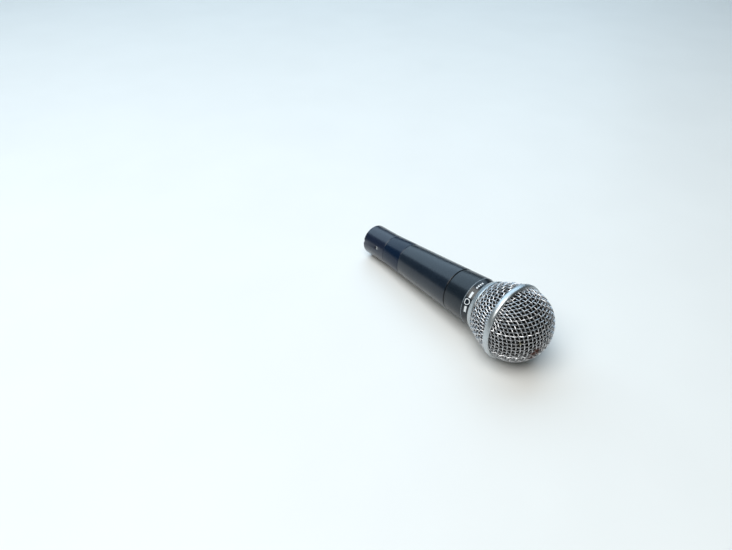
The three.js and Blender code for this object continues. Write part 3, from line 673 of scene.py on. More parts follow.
def lead(name, slot, colour, route):
    """A smooth insulated wire along a route, in vinyl of one colour."""
    vinyl = plain_finish(name + "_vinyl", tuple(0.75 * c for c in colour), colour, 0.36, 4.0, 0.01)
    mesh = bpy.data.meshes.new(name)
    mesh.from_pydata(route, [(k, k + 1) for k in range(len(route) - 1)], [])
    piece = bpy.data.objects.new(name + "_wire", mesh)
    bpy.context.collection.objects.link(piece)
    grown(piece, wire_tree, Wire_Radius=LEAD_RADIUS, Rise=0.0, Sides=16, Steps=10,
          Material=vinyl.material)
    fit(piece, "handle", slot, vinyl, name)


for side, name, slot, colour in (
        (1, "cartridge_lead_1", "lead_yellow", (0.62, 0.42, 0.03)),
        (-1, "cartridge_lead_2", "lead_green", (0.03, 0.20, 0.07))):
    lead(name, slot, colour, [
        (51.8, side * 3.0, 4.45), (56.5, side * 3.0, 4.45), (61.2, side * 1.25, 5.75),
        (67.5, side * 2.6, 4.2), (73.4, side * 3.85, 2.2), (77.6, side * 4.05, 0.3),
        (80.8, side * 4.05, 0.0)])
for side, name, slot, colour, azimuth in (
        (1, "output_lead_1", "lead_red", (0.45, 0.02, 0.015), pin_azimuths[1]),
        (-1, "output_lead_2", "lead_black", (0.014, 0.014, 0.015), pin_azimuths[2])):
    cup = around(PIN_CIRCLE, azimuth)
    lead(name, slot, colour, [
        (24.9, *cup), (27.3, *cup), (33.5, side * 3.0, 4.45), (38.2, side * 3.0, 4.45)])

# ---- Collar ---------------------------------------------------------------------------------
# A turned collar in the same enamel, screwed into the handle. Its front edge is bevelled, and
# its neck carries the fine thread that the grille screws on to.
COLLAR_START = 92.1
BEVEL_START = 108.7
BEVEL_END = 114.7
BEVEL_RADIUS = 16.3
BEVEL_END_RADIUS = 15.0
THREAD_CORE = 14.05
THREAD_PITCH = 1.25
COLLAR_THREAD_START = 81.3
COLLAR_THREAD_RADIUS = 12.4
COLLAR_BORE = 10.9
MOUNT_BORE = 12.2
MOUNT_FLOOR = 103.0
COLLAR_ENAMEL = (0.0060, 0.0110, 0.0175)
CLOUDED_COLLAR = (0.0080, 0.0135, 0.0205)
BEVEL_ENAMEL = (0.0055, 0.0095, 0.0150)
BEVEL_EDGE_HIGHLIGHT = (0.20, 0.23, 0.26)
BARE_THREAD = (0.50, 0.50, 0.49)

collar_enamel = Finish("collar_enamel", IOR=1.48)
collar_grain = collar_enamel.place.noise(6.0, 4.0, 0.6)
collar_cloud = collar_enamel.place.noise(0.09, 3.0)
# A patchy line of light grey along the bevel's edge, where the bevel starts, is a painted
# highlight.
bevel_edge = (collar_enamel.station - BEVEL_START).absolute().fade(0.40, 0.10)
bevel_highlight = bevel_edge * collar_enamel.place.noise(0.7, 5.0, 0.7).fade(0.30, 0.55)
neck_bare = collar_enamel.station.fade(114.6, 114.9)
on_bevel = collar_enamel.station.fade(108.6, 108.8)
collar_base = collar_cloud.tint(COLLAR_ENAMEL, CLOUDED_COLLAR)
collar_base = (on_bevel * 0.5).tint(collar_base, BEVEL_ENAMEL)
collar_base = bevel_highlight.tint(collar_base, BEVEL_EDGE_HIGHLIGHT)
collar_enamel.paint(
    Base_Color=neck_bare.tint(collar_base, BARE_THREAD),
    Metallic=neck_bare,
    Roughness=0.23 + collar_grain * 0.08 + neck_bare * 0.05)
collar_enamel.bumps(collar_grain, 0.010, 0.35)

collar = turned("collar_turning", [
    (COLLAR_BORE, COLLAR_THREAD_START),
    (COLLAR_THREAD_RADIUS, COLLAR_THREAD_START),
    (COLLAR_THREAD_RADIUS, COLLAR_START),
    (SEAM_RADIUS - SEAM_CHAMFER, COLLAR_START),
    (SEAM_RADIUS, COLLAR_START + SEAM_CHAMFER),
    (BEVEL_RADIUS, BEVEL_START),
    (BEVEL_END_RADIUS, BEVEL_END),
    (THREAD_CORE, BEVEL_END),
    (THREAD_CORE, COLLAR_FRONT - 0.6),
    (THREAD_CORE - 0.5, COLLAR_FRONT),
    (MOUNT_BORE, COLLAR_FRONT),
    (MOUNT_BORE, MOUNT_FLOOR),
    (COLLAR_BORE, MOUNT_FLOOR),
], sides=160, corner=0.2)
fit(collar, "handle", "enamel", collar_enamel, "collar")

helix_tree, helix = nodes_tree("helix", [
    ("Radius", "Float"), ("Pitch", "Float"), ("Turns", "Float"), ("Start", "Float"),
    ("Depth", "Float"), ("Width", "Float"), ("Section Sides", "Int"), ("Steps", "Int"),
    ("Material", "Material")])
spiral = helix["Radius"].node("GeometryNodeCurveSpiral", {}, {
    "Resolution": helix["Steps"], "Rotations": helix["Turns"], "Start Radius": helix["Radius"],
    "End Radius": helix["Radius"], "Height": helix["Pitch"] * helix["Turns"]})
upright = spiral.node("GeometryNodeSetCurveNormal", {"mode": "Z_UP"}, {"Curve": spiral})
profile = spiral.node("GeometryNodeCurvePrimitiveCircle", {}, {
    "Resolution": helix["Section Sides"], "Radius": 1.0})
flat_size = spiral.node("ShaderNodeCombineXYZ", {}, {
    "X": helix["Depth"], "Y": helix["Width"], "Z": 1.0})
section = spiral.node("GeometryNodeTransform", {}, {"Geometry": profile, "Scale": flat_size})
swept = upright.node("GeometryNodeCurveToMesh", {}, {
    "Curve": upright, "Profile Curve": section, "Fill Caps": True})
begin = spiral.node("ShaderNodeCombineXYZ", {}, {"X": helix["Start"]})
along = swept.node("GeometryNodeTransform", {}, {
    "Geometry": swept, "Translation": begin, "Rotation": (0.0, math.pi / 2, 0.0)})
end_tree(helix_tree, along, helix["Material"])

collar_thread = grown(
    solid("collar_thread", [], []), helix_tree, Radius=THREAD_CORE + 0.1, Pitch=THREAD_PITCH,
    Turns=4.2, Start=BEVEL_END + 0.5, Depth=0.42, Width=0.52, Section_Sides=4, Steps=72,
    Material=collar_enamel.material)
fit(collar_thread, "handle", "enamel", collar_enamel)

# ---- Printed marks --------------------------------------------------------------------------
# White ink on the collar's bevel: the heart-shaped symbol of a one-sided pickup pattern between
# two plain bars, and a row of four small squares. The ink stands a few hundredths of a millimetre.
INK_LIFT = 0.03
INK_STATION = 111.6
INK_MIDDLE = 150.0
INK_SINK = -0.02
MARK_RADIUS = 15.7
HEART_REACH = 1.4
HEART_DROP = 1.45
HEART_STROKE = 0.5
BAR_SPANS = ((-7.2, -2.9), (2.9, 7.2))
BAR_WIDTH = 1.5
SQUARE_STARTS = (10.4, 12.1, 13.8, 15.5)
SQUARE_WIDTH = 1.1

ink = Finish("white_ink", Roughness=0.55)
worn_ink = ink.place.noise(1.6, 4.0, 0.7).fade(0.22, 0.42)
ink.paint(Base_Color=worn_ink.tint((0.30, 0.33, 0.36), (0.74, 0.77, 0.80)))


def on_bevel_point(along_arc, forward, level):
    """A point over the bevel, from its distance round it and towards the grille."""
    station = INK_STATION + forward
    slope = (BEVEL_RADIUS - BEVEL_END_RADIUS) / (BEVEL_END - BEVEL_START)
    radius = BEVEL_RADIUS - slope * (station - BEVEL_START) + level
    turn = math.radians(INK_MIDDLE) - along_arc / MARK_RADIUS
    return (station, radius * math.cos(turn), radius * math.sin(turn))


def ink_stroke(path, width, closed=False):
    """Corners and faces of an inked line, given as points on the bevel."""
    points = [Vector(p) for p in path]
    count = len(points)
    corners, faces = [], []
    for i, point in enumerate(points):
        before = points[i - 1] if closed or i else point
        after = points[(i + 1) % count] if closed or i < count - 1 else point
        way = (after - before).normalized()
        side = Vector((-way.y, way.x)) * width / 2
        for edge, level in (
                (side, INK_SINK), (-side, INK_SINK), (-side, INK_LIFT), (side, INK_LIFT)):
            corners.append(on_bevel_point(*(point + edge), level))
    spans = count if closed else count - 1
    for i in range(spans):
        a, b = 4 * i, 4 * ((i + 1) % count)
        faces += [(a + k, a + (k + 1) % 4, b + (k + 1) % 4, b + k) for k in range(4)]
    if not closed:
        faces += [(0, 1, 2, 3), tuple(4 * (count - 1) + k for k in range(4))]
    return corners, faces


heart = []
for a in np.linspace(0, 2 * math.pi, 56, endpoint=False):
    reach = HEART_REACH * (1 + math.cos(a))
    heart.append((reach * math.sin(a), reach * math.cos(a) - HEART_DROP))
marks = [ink_stroke(heart, HEART_STROKE, True)]
bars = [(*span, BAR_WIDTH) for span in BAR_SPANS]
bars += [(start, start + SQUARE_WIDTH, SQUARE_WIDTH) for start in SQUARE_STARTS]
for start, end, width in bars:
    marks.append(ink_stroke([(u, 0.0) for u in np.linspace(start, end, 10)], width))
ink_corners, ink_faces = [], []
for corners, faces in marks:
    ink_faces += [tuple(len(ink_corners) + k for k in face) for face in faces]
    ink_corners += corners
fit(solid("collar_marks", ink_corners, ink_faces), "handle", "enamel", ink)

# ---- Shock mount and its ring ---------------------------------------------------------------
# A moulded rubber mount floats the cartridge in the collar: an outer and an inner sleeve joined by
# a thin web. A slotted and threaded steel ring keeps it in.
MOUNT_START = 103.3
MOUNT_END = 117.9
CARTRIDGE_NECK = 8.5
SLEEVE_WALL = 1.0
WEB_HALF = 1.5
MOUNT_RING_BORE = 9.4
MOUNT_RING_START = 118.2
RING_SLOT_DEPTH = 1.2
rubber = plain_finish("mount_rubber", (0.012, 0.012, 0.012), (0.024, 0.023, 0.022), 0.72, 3.0, 0.03)
dull_steel = plain_finish(
    "dull_steel", (0.26, 0.26, 0.27), (0.40, 0.40, 0.41), 0.40, 2.5, 0.015, Metallic=1.0)
web_middle = (MOUNT_START + MOUNT_END) / 2
inner_sleeve, outer_sleeve = CARTRIDGE_NECK + SEAT_GAP, MOUNT_BORE - SEAT_GAP
shock_mount = turned("shock_mount_moulding", [
    (inner_sleeve, MOUNT_START),
    (inner_sleeve + SLEEVE_WALL, MOUNT_START),
    (inner_sleeve + SLEEVE_WALL, web_middle - WEB_HALF),
    (outer_sleeve - SLEEVE_WALL, web_middle - WEB_HALF),
    (outer_sleeve - SLEEVE_WALL, MOUNT_START),
    (outer_sleeve, MOUNT_START),
    (outer_sleeve, MOUNT_END),
    (outer_sleeve - SLEEVE_WALL, MOUNT_END),
    (outer_sleeve - SLEEVE_WALL, web_middle + WEB_HALF),
    (inner_sleeve + SLEEVE_WALL, web_middle + WEB_HALF),
    (inner_sleeve + SLEEVE_WALL, MOUNT_END),
    (inner_sleeve, MOUNT_END),
], corner=0.3)
fit(shock_mount, "handle", "rubber", rubber, "shock_mount")
mount_ring = turned(
    "mount_ring_turning",
    flat_ring(MOUNT_RING_BORE, outer_sleeve, MOUNT_RING_START, COLLAR_FRONT), corner=0.2)
cut(mount_ring, block(COLLAR_FRONT - RING_SLOT_DEPTH, COLLAR_FRONT + 1, 1.0, -13.0, 13.0))
fit(mount_ring, "handle", "dull_steel", dull_steel, "mount_ring")

# ---- Cartridge ------------------------------------------------------------------------------
# The dynamic cartridge is a grey moulded frame with eight felt-backed ports, a turned motor in its
# head, an aluminium can behind it as the rear chamber, and a terminal board with two gilt tags.
NECK_BORE = 7.3
HEAD_START = 122.4
HEAD_FLOOR = 124.2
HEAD_END = 136.25
HEAD_BORE = 11.0
HEAD_RADIUS = 12.4
MOTOR_RADIUS = 10.7
FRAME_START = 99.9
PORTS = 8
PORT_RADIUS = 1.1
PORT_CIRCLE = 9.75
FELT_START = 124.5
FELT_END = 125.3
CAN_START = 83.9
CAN_END = 109.9
CAN_RADIUS = 7.0
CAN_WALL = 0.8
CAN_HOLE = 1.65
felt = plain_finish(
    "port_felt", (0.16, 0.15, 0.13), (0.24, 0.22, 0.19), 0.93, 2.4, 0.12, Sheen_Weight=0.3)
cartridge_frame = turned("cartridge_moulding", [
    (NECK_BORE, FRAME_START),
    (CARTRIDGE_NECK, FRAME_START),
    (CARTRIDGE_NECK, HEAD_START),
    (HEAD_RADIUS, HEAD_START),
    (HEAD_RADIUS, HEAD_END),
    (HEAD_BORE, HEAD_END),
    (HEAD_BORE, HEAD_FLOOR),
    (NECK_BORE, HEAD_FLOOR),
], corner=0.25)
port_tools = [
    rod(PORT_RADIUS, HEAD_START - 1, HEAD_FLOOR + 1, around(PORT_CIRCLE, 360 * k / PORTS), 20)
    for k in range(PORTS)]
cut(cartridge_frame, *port_tools, edge=0.0)
fit(cartridge_frame, "cartridge", "grey_plastic", grey_plastic, "cartridge_frame")
port_felt = turned(
    "felt_ring", flat_ring(NECK_BORE + 0.3, MOTOR_RADIUS, FELT_START, FELT_END), corner=0.25)
fit(port_felt, "cartridge", "felt", felt, "port_felt")
rear_chamber = turned("chamber_can", [
    (CAN_HOLE, CAN_START),
    (CAN_RADIUS, CAN_START),
    (CAN_RADIUS, CAN_END),
    (CAN_RADIUS - CAN_WALL, CAN_END),
    (CAN_RADIUS - CAN_WALL, CAN_START + CAN_WALL),
    (CAN_HOLE, CAN_START + CAN_WALL),
], corner=0.5)
fit(rear_chamber, "cartridge", "dull_steel", dull_steel, "rear_chamber")
board = plain_finish("terminal_board", (0.13, 0.065, 0.025), (0.19, 0.10, 0.042), 0.5, 2.2, 0.02)
dress("terminal_board", board)
dress("terminal_tag_1", gold)
dress("terminal_tag_2", gold)

# ---- Motor and diaphragm --------------------------------------------------------------------
# A disc magnet in a soft-iron cup, with a pole piece and a top plate round the magnetic gap. The
# polyester diaphragm, with its rolled surround, carries the copper voice coil in the gap.
YOKE_START = 125.6
YOKE_FLOOR = 127.2
YOKE_END = 131.3
YOKE_BORE = 9.1
MAGNET_RADIUS = 6.6
POLE_RADIUS = 6.8
POLE_START = 130.2
PLATE_START = 131.6
PLATE_BORE = 8.1
GAP_FACE = 132.9
motor_iron = plain_finish(
    "motor_iron", (0.30, 0.30, 0.31), (0.42, 0.42, 0.43), 0.34, 2.0, 0.010, Metallic=1.0)
yoke = turned("yoke_turning", [
    (0.0, YOKE_START), (MOTOR_RADIUS, YOKE_START), (MOTOR_RADIUS, YOKE_END),
    (YOKE_BORE, YOKE_END), (YOKE_BORE, YOKE_FLOOR), (0.0, YOKE_FLOOR)], corner=0.25)
fit(yoke, "cartridge", "dull_steel", motor_iron, "yoke_cup")
magnet = turned(
    "magnet_disc",
    flat_ring(0.0, MAGNET_RADIUS, YOKE_FLOOR + SEAT_GAP, POLE_START - SEAT_GAP), corner=0.15)
fit(magnet, "cartridge", "bright_steel", bright_steel, "magnet")
pole = turned("pole_turning", flat_ring(0.0, POLE_RADIUS, POLE_START, GAP_FACE), corner=0.2)
fit(pole, "cartridge", "dull_steel", motor_iron, "pole_piece")
top_plate = turned(
    "top_plate_turning", flat_ring(PLATE_BORE, MOTOR_RADIUS, PLATE_START, GAP_FACE), corner=0.15)
fit(top_plate, "cartridge", "dull_steel", motor_iron, "top_plate")

COIL_RADIUS = 7.2
COIL_END = 134.1
FORMER_LENGTH = 3.6
FORMER_WALL = 0.14
coil_copper = plain_finish(
    "coil_copper", (0.42, 0.13, 0.05), (0.60, 0.23, 0.09), 0.28, 3.0, 0.004, Metallic=1.0)
coil = grown(
    solid("voice_coil_winding", [], []), helix_tree, Radius=COIL_RADIUS + 0.25, Pitch=0.15,
    Turns=22.0, Start=COIL_END - 3.45, Depth=0.13, Width=0.076, Section_Sides=5, Steps=60,
    Material=coil_copper.material)
fit(coil, "diaphragm", "copper", coil_copper)
former = turned(
    "voice_coil_former",
    flat_ring(COIL_RADIUS, COIL_RADIUS + FORMER_WALL, COIL_END - FORMER_LENGTH, COIL_END),
    sides=72, corner=0.0)
fit(former, "diaphragm", "copper", coil_copper, "voice_coil")

DIAPHRAGM_FACE = 134.7
FILM_THICKNESS = 0.16
ROLL_OUTER = 9.9
ROLL_INNER = 7.9
ROLL_RISE = 0.7
FILM_DOME_RISE = 1.8
film = Finish("polyester_film", Roughness=0.22, IOR=1.6, Coat_Weight=0.3)
pleats = film.azimuth.wave(36.0) * (
    film.radius.fade(ROLL_INNER, ROLL_INNER + 0.5)
    * (1 - film.radius.fade(ROLL_OUTER - 0.4, ROLL_OUTER)))
film.paint(
    Base_Color=film.place.noise(0.7).tint((0.50, 0.49, 0.40), (0.62, 0.61, 0.52)),
    Roughness=0.18 + film.place.noise(1.5) * 0.14)
film.bumps(pleats + film.place.noise(0.9) * 0.3, 0.12, 0.9)
face = [(MOTOR_RADIUS, 0.0), (ROLL_OUTER, 0.0)]
for a in np.linspace(0, math.pi, 15)[1:]:
    face.append((ROLL_OUTER - (1 - math.cos(a)), ROLL_RISE * math.sin(a)))
for a in np.linspace(0, math.pi / 2, 18)[1:]:
    face.append((ROLL_INNER * math.cos(a) if a < 1.57 else 0.0, FILM_DOME_RISE * math.sin(a)))
outline = [(r, DIAPHRAGM_FACE + h - FILM_THICKNESS) for r, h in reversed(face)]
outline += [(r, DIAPHRAGM_FACE + h) for r, h in face]
diaphragm_film = turned("diaphragm_film", outline, sides=120, corner=0.0)
fit(diaphragm_film, "diaphragm", "film", film, "diaphragm")

CLAMP_START = 135.25
clamp_ring = turned(
    "clamp_ring_moulding", flat_ring(ROLL_OUTER, MOTOR_RADIUS, CLAMP_START, HEAD_END), corner=0.15)
fit(clamp_ring, "cartridge", "grey_plastic", grey_plastic, "clamp_ring")

# ---- Cap and front screen -------------------------------------------------------------------
# A black moulded cap with seven holes tunes the sound ahead of the diaphragm. A disc of woven
# nylon lies in its recess to keep dust out.
CAP_START = 136.55
CAP_END = 139.05
CAP_PLATE = 137.05
CAP_PLATE_END = CAP_PLATE + 1.0
CAP_HOLE_RADIUS = 1.3
CAP_HOLE_CIRCLE = 6.0
SCREEN_START = 138.36
SCREEN_END = 138.8
SCREEN_RADIUS = 10.7
cap = turned("cap_moulding", [
    (0.0, CAP_PLATE),
    (HEAD_BORE, CAP_PLATE),
    (HEAD_BORE, CAP_START),
    (HEAD_RADIUS, CAP_START),
    (HEAD_RADIUS, CAP_END),
    (HEAD_BORE, CAP_END),
    (HEAD_BORE, CAP_PLATE_END),
    (0.0, CAP_PLATE_END),
], corner=0.25)
holes = [(0.0, 0.0)] + [around(CAP_HOLE_CIRCLE, 60 * k) for k in range(6)]
cap_tools = [rod(CAP_HOLE_RADIUS, CAP_START - 1, CAP_END + 1, centre, 28) for centre in holes]
cut(cap, *cap_tools, edge=0.0)
fit(cap, "cartridge", "black_plastic", black_plastic, "resonator_cap")
nylon = Finish("woven_nylon", Roughness=0.8)
threads = (nylon.across.wave(14.0) * nylon.height.wave(14.0)).absolute()
nylon.paint(
    Base_Color=threads.tint((0.20, 0.19, 0.17), (0.045, 0.043, 0.040)),
    Roughness=0.7 + threads * 0.2)
nylon.bumps(1 - threads, 0.06, 0.8)
screen = turned("dust_screen", flat_ring(0.0, SCREEN_RADIUS, SCREEN_START, SCREEN_END))
fit(screen, "cartridge", "felt", nylon, "front_screen")

# ---- Grille ring and band -------------------------------------------------------------------
# Two turned rings in satin nickel: the flared ring that screws on to the collar, and the rolled
# band that joins the two halves of the ball. Both show faint turning lines.
RING_START = 115.0
RING_END = 118.9
RING_START_RADIUS = 17.1
RING_END_RADIUS = 18.6
RING_BORE = 14.9
RING_SLEEVE = 16.2
RING_SLEEVE_END = 121.2
BAND_START = 135.1
BAND_END = 139.2
BAND_RADIUS = 25.4
BAND_INNER = 22.8
BAND_SWELL = 1.1
BAND_FULLNESS = 2.6
NICKEL_LOW = (0.50, 0.53, 0.55)
NICKEL_HIGH = (0.58, 0.61, 0.63)
TARNISH = (0.34, 0.36, 0.38)

nickel = Finish("satin_nickel", Metallic=1.0, IOR=2.0)
turning_place = nickel.place.node("ShaderNodeCombineXYZ", {}, {
    "X": nickel.station, "Y": nickel.radius, "Z": nickel.azimuth * 0.6})
turning_lines = turning_place.noise(9.0, 3.0, 0.7)
nickel_cloud = nickel.place.noise(0.35, 4.0, 0.6)
tarnish = nickel.place.noise(0.5, 6.0, 0.75).fade(0.62, 0.80)
nickel.paint(
    Base_Color=(tarnish * 0.25).tint(nickel_cloud.tint(NICKEL_LOW, NICKEL_HIGH), TARNISH),
    Roughness=0.34 + turning_lines * 0.12 + tarnish * 0.08)
nickel.bumps(turning_lines, 0.008, 0.3)

grille_ring = turned("grille_ring_turning", [
    (RING_BORE, RING_START),
    (RING_START_RADIUS, RING_START),
    (RING_START_RADIUS + 0.55, RING_START + 1.3),
    (RING_END_RADIUS - 0.1, RING_END - 0.9),
    (RING_END_RADIUS, RING_END),
    (RING_SLEEVE, RING_END),
    (RING_SLEEVE, RING_SLEEVE_END),
    (RING_BORE, RING_SLEEVE_END),
], sides=160, corner=0.32)
fit(grille_ring, "grille", "bright_steel", nickel, "grille_ring")

band_middle = (BAND_START + BAND_END) / 2
band_half = (BAND_END - BAND_START) / 2
band_profile = []
for a in np.linspace(-1.0, 1.0, 13):
    swell = BAND_SWELL * (1 - abs(a) ** BAND_FULLNESS) ** 0.5 if abs(a) < 1 else 0.0
    band_profile.append((BAND_RADIUS - BAND_SWELL + swell, band_middle + a * band_half))
band = turned("grille_band_rolling", [
    (BAND_INNER, BAND_START), *band_profile, (BAND_INNER, BAND_END)], sides=200, corner=0.05)
fit(band, "grille", "bright_steel", nickel, "grille_band")

# ---- Woven wire ball ------------------------------------------------------------------------
# Both halves of the ball are plain-woven steel wire, ten meshes to the inch, drawn to shape: each
# wire keeps its spacing along the others while the cells shear. Their edges are rolled into the
# band and the ring.
DOME_RADIUS = 24.0
DOME_DEPTH = 22.8
WIRE_RADIUS = 0.345
WIRE_SPACING = 2.54
SHELL_INSET = 2 * WIRE_RADIUS
NET_STEPS = 4
NET_REACH = 47.0
NET_COUNT = 80
TUBE_END = -7.0
TUCK = 0.7
FRONT_TURN = 3.0
FRONT_SHIFT = (1, 2)
FRONT_LIMIT = 170.0
REAR_DEPTH = 24.0
REAR_SPACING = 2.62
REAR_TURN = 14.0
REAR_SHIFT = (0, 3)
REAR_START = 119.2
REAR_BULGE = 1.73
REAR_LENGTH = 16.2
REAR_MOUTH = 18.5
WIRE_STEEL_LOW = (0.54, 0.54, 0.56)
WIRE_STEEL_HIGH = (0.66, 0.66, 0.67)
GRIME = (0.34, 0.33, 0.32)
STAIN = (0.125, 0.050, 0.036)
YELLOWED = (0.42, 0.38, 0.20)


def net_place(point, depth):
    """How far a point is off a dome that runs on as a tube, and the slope there."""
    x, y, z = point
    rise = max(z, 0.0)
    off = (x * x + y * y) / DOME_RADIUS ** 2 + (rise / depth) ** 2 - 1
    slope = [2 * x / DOME_RADIUS ** 2, 2 * y / DOME_RADIUS ** 2, 2 * rise / depth ** 2]
    return off, np.array(slope)


def drawn_net(spacing, depth):
    """Crossings of a fine square net drawn over a dome, by their numbers from its pole."""
    step = spacing / NET_STEPS
    reach = int(NET_REACH / step)
    angles = np.linspace(0, math.pi / 2, 2000)
    meridian = [(DOME_RADIUS * math.sin(a), depth * math.cos(a)) for a in angles]
    meridian += [(DOME_RADIUS, -0.05 * k) for k in range(1, 200)]
    meridian = np.array(meridian)
    arc = np.r_[0, np.cumsum(np.hypot(*np.diff(meridian, axis=0).T))]
    quarter = {}
    for k in range(reach):
        out, rise = (np.interp(k * step, arc, meridian[:, axis]) for axis in (0, 1))
        quarter[k, 0] = np.array([out, 0, rise])
        quarter[0, k] = np.array([0, out, rise])
    for i in range(1, reach):
        for j in range(1, reach):
            left, below, back = (
                quarter.get(near) for near in ((i - 1, j), (i, j - 1), (i - 1, j - 1)))
            if left is None or below is None or back is None:
                continue
            if min(left[2], below[2]) < TUBE_END:
                continue
            place = left + below - back
            for _ in range(12):
                off, slope = net_place(place, depth)
                to_left, to_below = place - left, place - below
                errors = [
                    to_left @ to_left - step ** 2, to_below @ to_below - step ** 2,
                    off * DOME_RADIUS ** 2]
                rates = np.array([2 * to_left, 2 * to_below, slope * DOME_RADIUS ** 2])
                move = np.linalg.solve(rates, errors)
                place = place - move
                if np.abs(move).max() < TINY:
                    break
            quarter[i, j] = place
    net = {}
    for turn in range(4):
        c, s = ((1, 0), (0, 1), (-1, 0), (0, -1))[turn]
        for (i, j), (x, y, z) in quarter.items():
            net[i * c - j * s, i * s + j * c] = np.array([x * c - y * s, x * s + y * c, z])
    return net


def wire_runs(net, shift, outward, low, high):
    """Wires through every whole crossing of a net, each kept between two stations of the ball.
    outward gives a crossing's place and normal in the microphone's frame."""
    first, second = (
        [k for k in range(-NET_COUNT, NET_COUNT + 1) if k % NET_STEPS == start] for start in shift)
    runs = []
    for family, own, other in ((0, first, second), (1, second, first)):
        for m, i in enumerate(own):
            run = []
            last = None
            for n, j in enumerate(other):
                point = net.get((i, j) if family == 0 else (j, i))
                if point is None:
                    last, run = None, []
                    continue
                place, normal = outward(point)
                inside = low <= place[0] <= high
                if last is not None and inside != last[2]:
                    edge = low if min(place[0], last[0][0]) < low else high
                    share = (edge - last[0][0]) / (place[0] - last[0][0])
                    run.append((last[0] + (place - last[0]) * share, normal * 0.0))
                if inside:
                    over = -1 if (m + n + family) % 2 else 1
                    run.append((place, normal * over))
                elif len(run) > 2:
                    runs.append(run)
                if not inside:
                    run = []
                last = (place, normal, inside)
            if len(run) > 2:
                runs.append(run)
    return runs


def front_outward(turn):
    """Gives the place and normal of a net's crossing on the front half, turned by an angle."""
    def outward(point):
        x, y, z = point
        c, s = math.cos(turn), math.sin(turn)
        across, up = x * c - y * s, x * s + y * c
        normal = np.array([
            max(z, 0) / DOME_DEPTH ** 2, across / DOME_RADIUS ** 2, up / DOME_RADIUS ** 2])
        normal /= np.linalg.norm(normal)
        return np.array([BAND_END + z, across, up]) - normal * SHELL_INSET, normal
    return outward


def rear_radius(station):
    """Outer radius of the rear half of the ball."""
    left = max(0.0, 1 - (station - RING_END) / REAR_LENGTH)
    return REAR_MOUTH + (DOME_RADIUS - REAR_MOUTH) * (1 - left ** REAR_BULGE)


def rear_outward(turn):
    """Gives the place and normal of a net's crossing on the rear half, turned by an angle."""
    def outward(point):
        x, y, z = point
        station = BAND_START - z
        azimuth = math.atan2(y, x) + turn
        level = min(max(station, RING_END - 2), BAND_START)
        slope = (rear_radius(level + 0.05) - rear_radius(level - 0.05)) / 0.1
        normal = np.array([-slope, math.cos(azimuth), math.sin(azimuth)])
        normal /= np.linalg.norm(normal)
        radius = rear_radius(station)
        place = np.array([station, radius * math.cos(azimuth), radius * math.sin(azimuth)])
        return place - normal * SHELL_INSET, normal
    return outward


wire = Finish("mesh_wire", Metallic=1.0)
wire_cloud = wire.place.noise(0.5, 4.0, 0.6)
wire_grain = wire.place.noise(4.0, 3.0, 0.6)
grime = wire.place.noise(0.25, 5.0, 0.7).fade(0.52, 0.75)
tip_stain = wire.spot(160.5, 8.6, -137.0, 1.6, 5.6)
tip_stain *= wire.place.noise(0.45, 4.0, 0.7).fade(0.32, 0.50)
side_stain = wire.spot(158.2, 12.6, -122.0, 0.8, 3.2) * wire.place.noise(0.8).fade(0.34, 0.50)
rust_patch = tip_stain.most(side_stain)
yellowing = wire.spot(156.0, 16.1, 166.7, 0.4, 1.5)
wire_base = wire_cloud.tint(WIRE_STEEL_LOW, WIRE_STEEL_HIGH)
wire_base = (grime * 0.35).tint(wire_base, GRIME)
wire_base = rust_patch.tint(wire_base, STAIN)
wire.paint(
    Base_Color=(yellowing * 0.8).tint(wire_base, YELLOWED),
    Metallic=1 - rust_patch * 0.75,
    Roughness=0.33 + wire_grain * 0.12 + grime * 0.12 + rust_patch * 0.35)
wire.bumps(wire_grain, 0.02, 0.3)


def woven(name, runs):
    """A piece of woven wire from runs of crossings and the side each wire passes on."""
    corners = [place for run in runs for place, _ in run]
    sides = [side for run in runs for _, side in run]
    links, first = [], 0
    for run in runs:
        links += [(first + k, first + k + 1) for k in range(len(run) - 1)]
        first += len(run)
    mesh = bpy.data.meshes.new(name)
    mesh.from_pydata([tuple(c) for c in corners], links, [])
    attribute = mesh.attributes.new("lift", "FLOAT_VECTOR", "POINT")
    attribute.data.foreach_set("vector", np.array(sides, np.float32).ravel())
    piece = bpy.data.objects.new(name, mesh)
    bpy.context.collection.objects.link(piece)
    return grown(
        piece, wire_tree, Wire_Radius=WIRE_RADIUS, Rise=WIRE_RADIUS * 0.96, Sides=7, Steps=6,
        Material=wire.material)


front_runs = wire_runs(
    drawn_net(WIRE_SPACING, DOME_DEPTH), FRONT_SHIFT, front_outward(math.radians(FRONT_TURN)),
    BAND_END - TUCK, FRONT_LIMIT)
fit(woven("front_weave", front_runs), "grille", "mesh_steel", wire, "grille_front_mesh")
rear_runs = wire_runs(
    drawn_net(REAR_SPACING, REAR_DEPTH), REAR_SHIFT, rear_outward(math.radians(REAR_TURN)),
    REAR_START - TUCK, BAND_START + TUCK)
fit(woven("rear_weave", rear_runs), "grille", "mesh_steel", wire, "grille_rear_mesh")

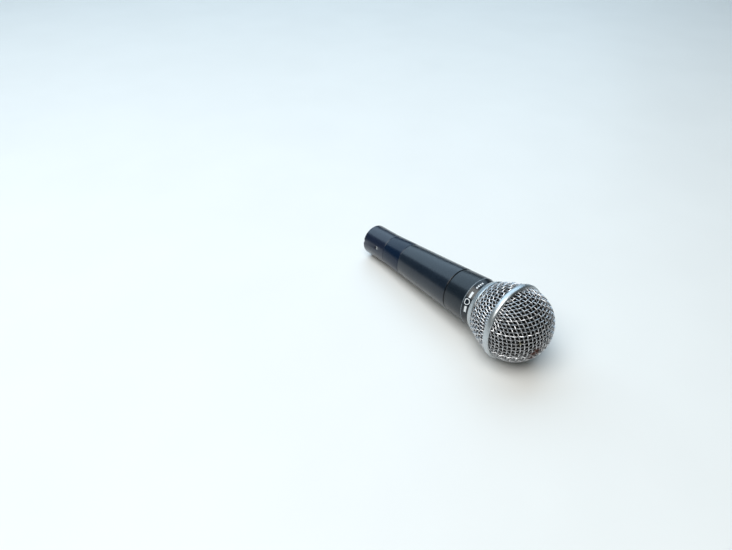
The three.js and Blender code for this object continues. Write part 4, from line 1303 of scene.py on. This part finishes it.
# ---- Windscreen foam ------------------------------------------------------------------------
# A liner of black open-cell foam, moulded to the ball and pressed in behind the wire. Its skin is
# pitted where the cells are cut.
FOAM_START = 121.5
FOAM_GAP = 1.5
FOAM_THICKNESS = 3.5
PIT_EDGE = 0.62
PIT_SLOPE = -1.6
foam_tree, foam_in = nodes_tree("open_cells", [
    ("Cell Size", "Float"), ("Pit Depth", "Float"), ("Material", "Material")])
spot_place = foam_in["Cell Size"].node("GeometryNodeInputPosition")
facing = spot_place.node("GeometryNodeInputNormal")
cell = spot_place.node("ShaderNodeTexVoronoi", {"feature": "F1"}, {
    "Vector": spot_place, "Scale": 1 / foam_in["Cell Size"]})
pit = (PIT_EDGE - cell).most(0.0) * foam_in["Pit Depth"] * PIT_SLOPE
sunk = facing.node("ShaderNodeVectorMath", {"operation": "SCALE"}, {0: facing, "Scale": pit})
pitted = sunk.node("GeometryNodeSetPosition", {}, {"Geometry": foam_in["Geometry"], "Offset": sunk})
end_tree(foam_tree, pitted, foam_in["Material"])

foam = Finish("black_foam", Roughness=0.95, Specular_IOR_Level=0.15)
foam_cells = foam.place.cells(1.25)
foam.paint(Base_Color=foam_cells.fade(0.1, 0.6).tint(
    (0.0015, 0.0015, 0.0018), (0.0075, 0.0075, 0.0080)))
foam.bumps(foam_cells, 0.25, 0.8)


def foam_outline(inset, steps):
    """The ball's outline pulled in by an inset, from the foam's edge to its tip."""
    points = [(rear_radius(s) - inset, s) for s in np.linspace(FOAM_START, BAND_START, steps)]
    for a in np.linspace(0.0, math.pi / 2, 2 * steps):
        radius = (DOME_RADIUS - inset) * math.cos(a)
        points.append((radius if a < 1.57 else 0.0, BAND_END + (DOME_DEPTH - inset) * math.sin(a)))
    return points


liner = turned("foam_liner", [
    *reversed(foam_outline(FOAM_GAP + FOAM_THICKNESS, 12)),
    *foam_outline(FOAM_GAP, 34),
], sides=240, corner=0.0)
grown(liner, foam_tree, Cell_Size=0.85, Pit_Depth=0.55, Material=foam.material)
fit(liner, "liner", "foam", foam, "windscreen_foam")
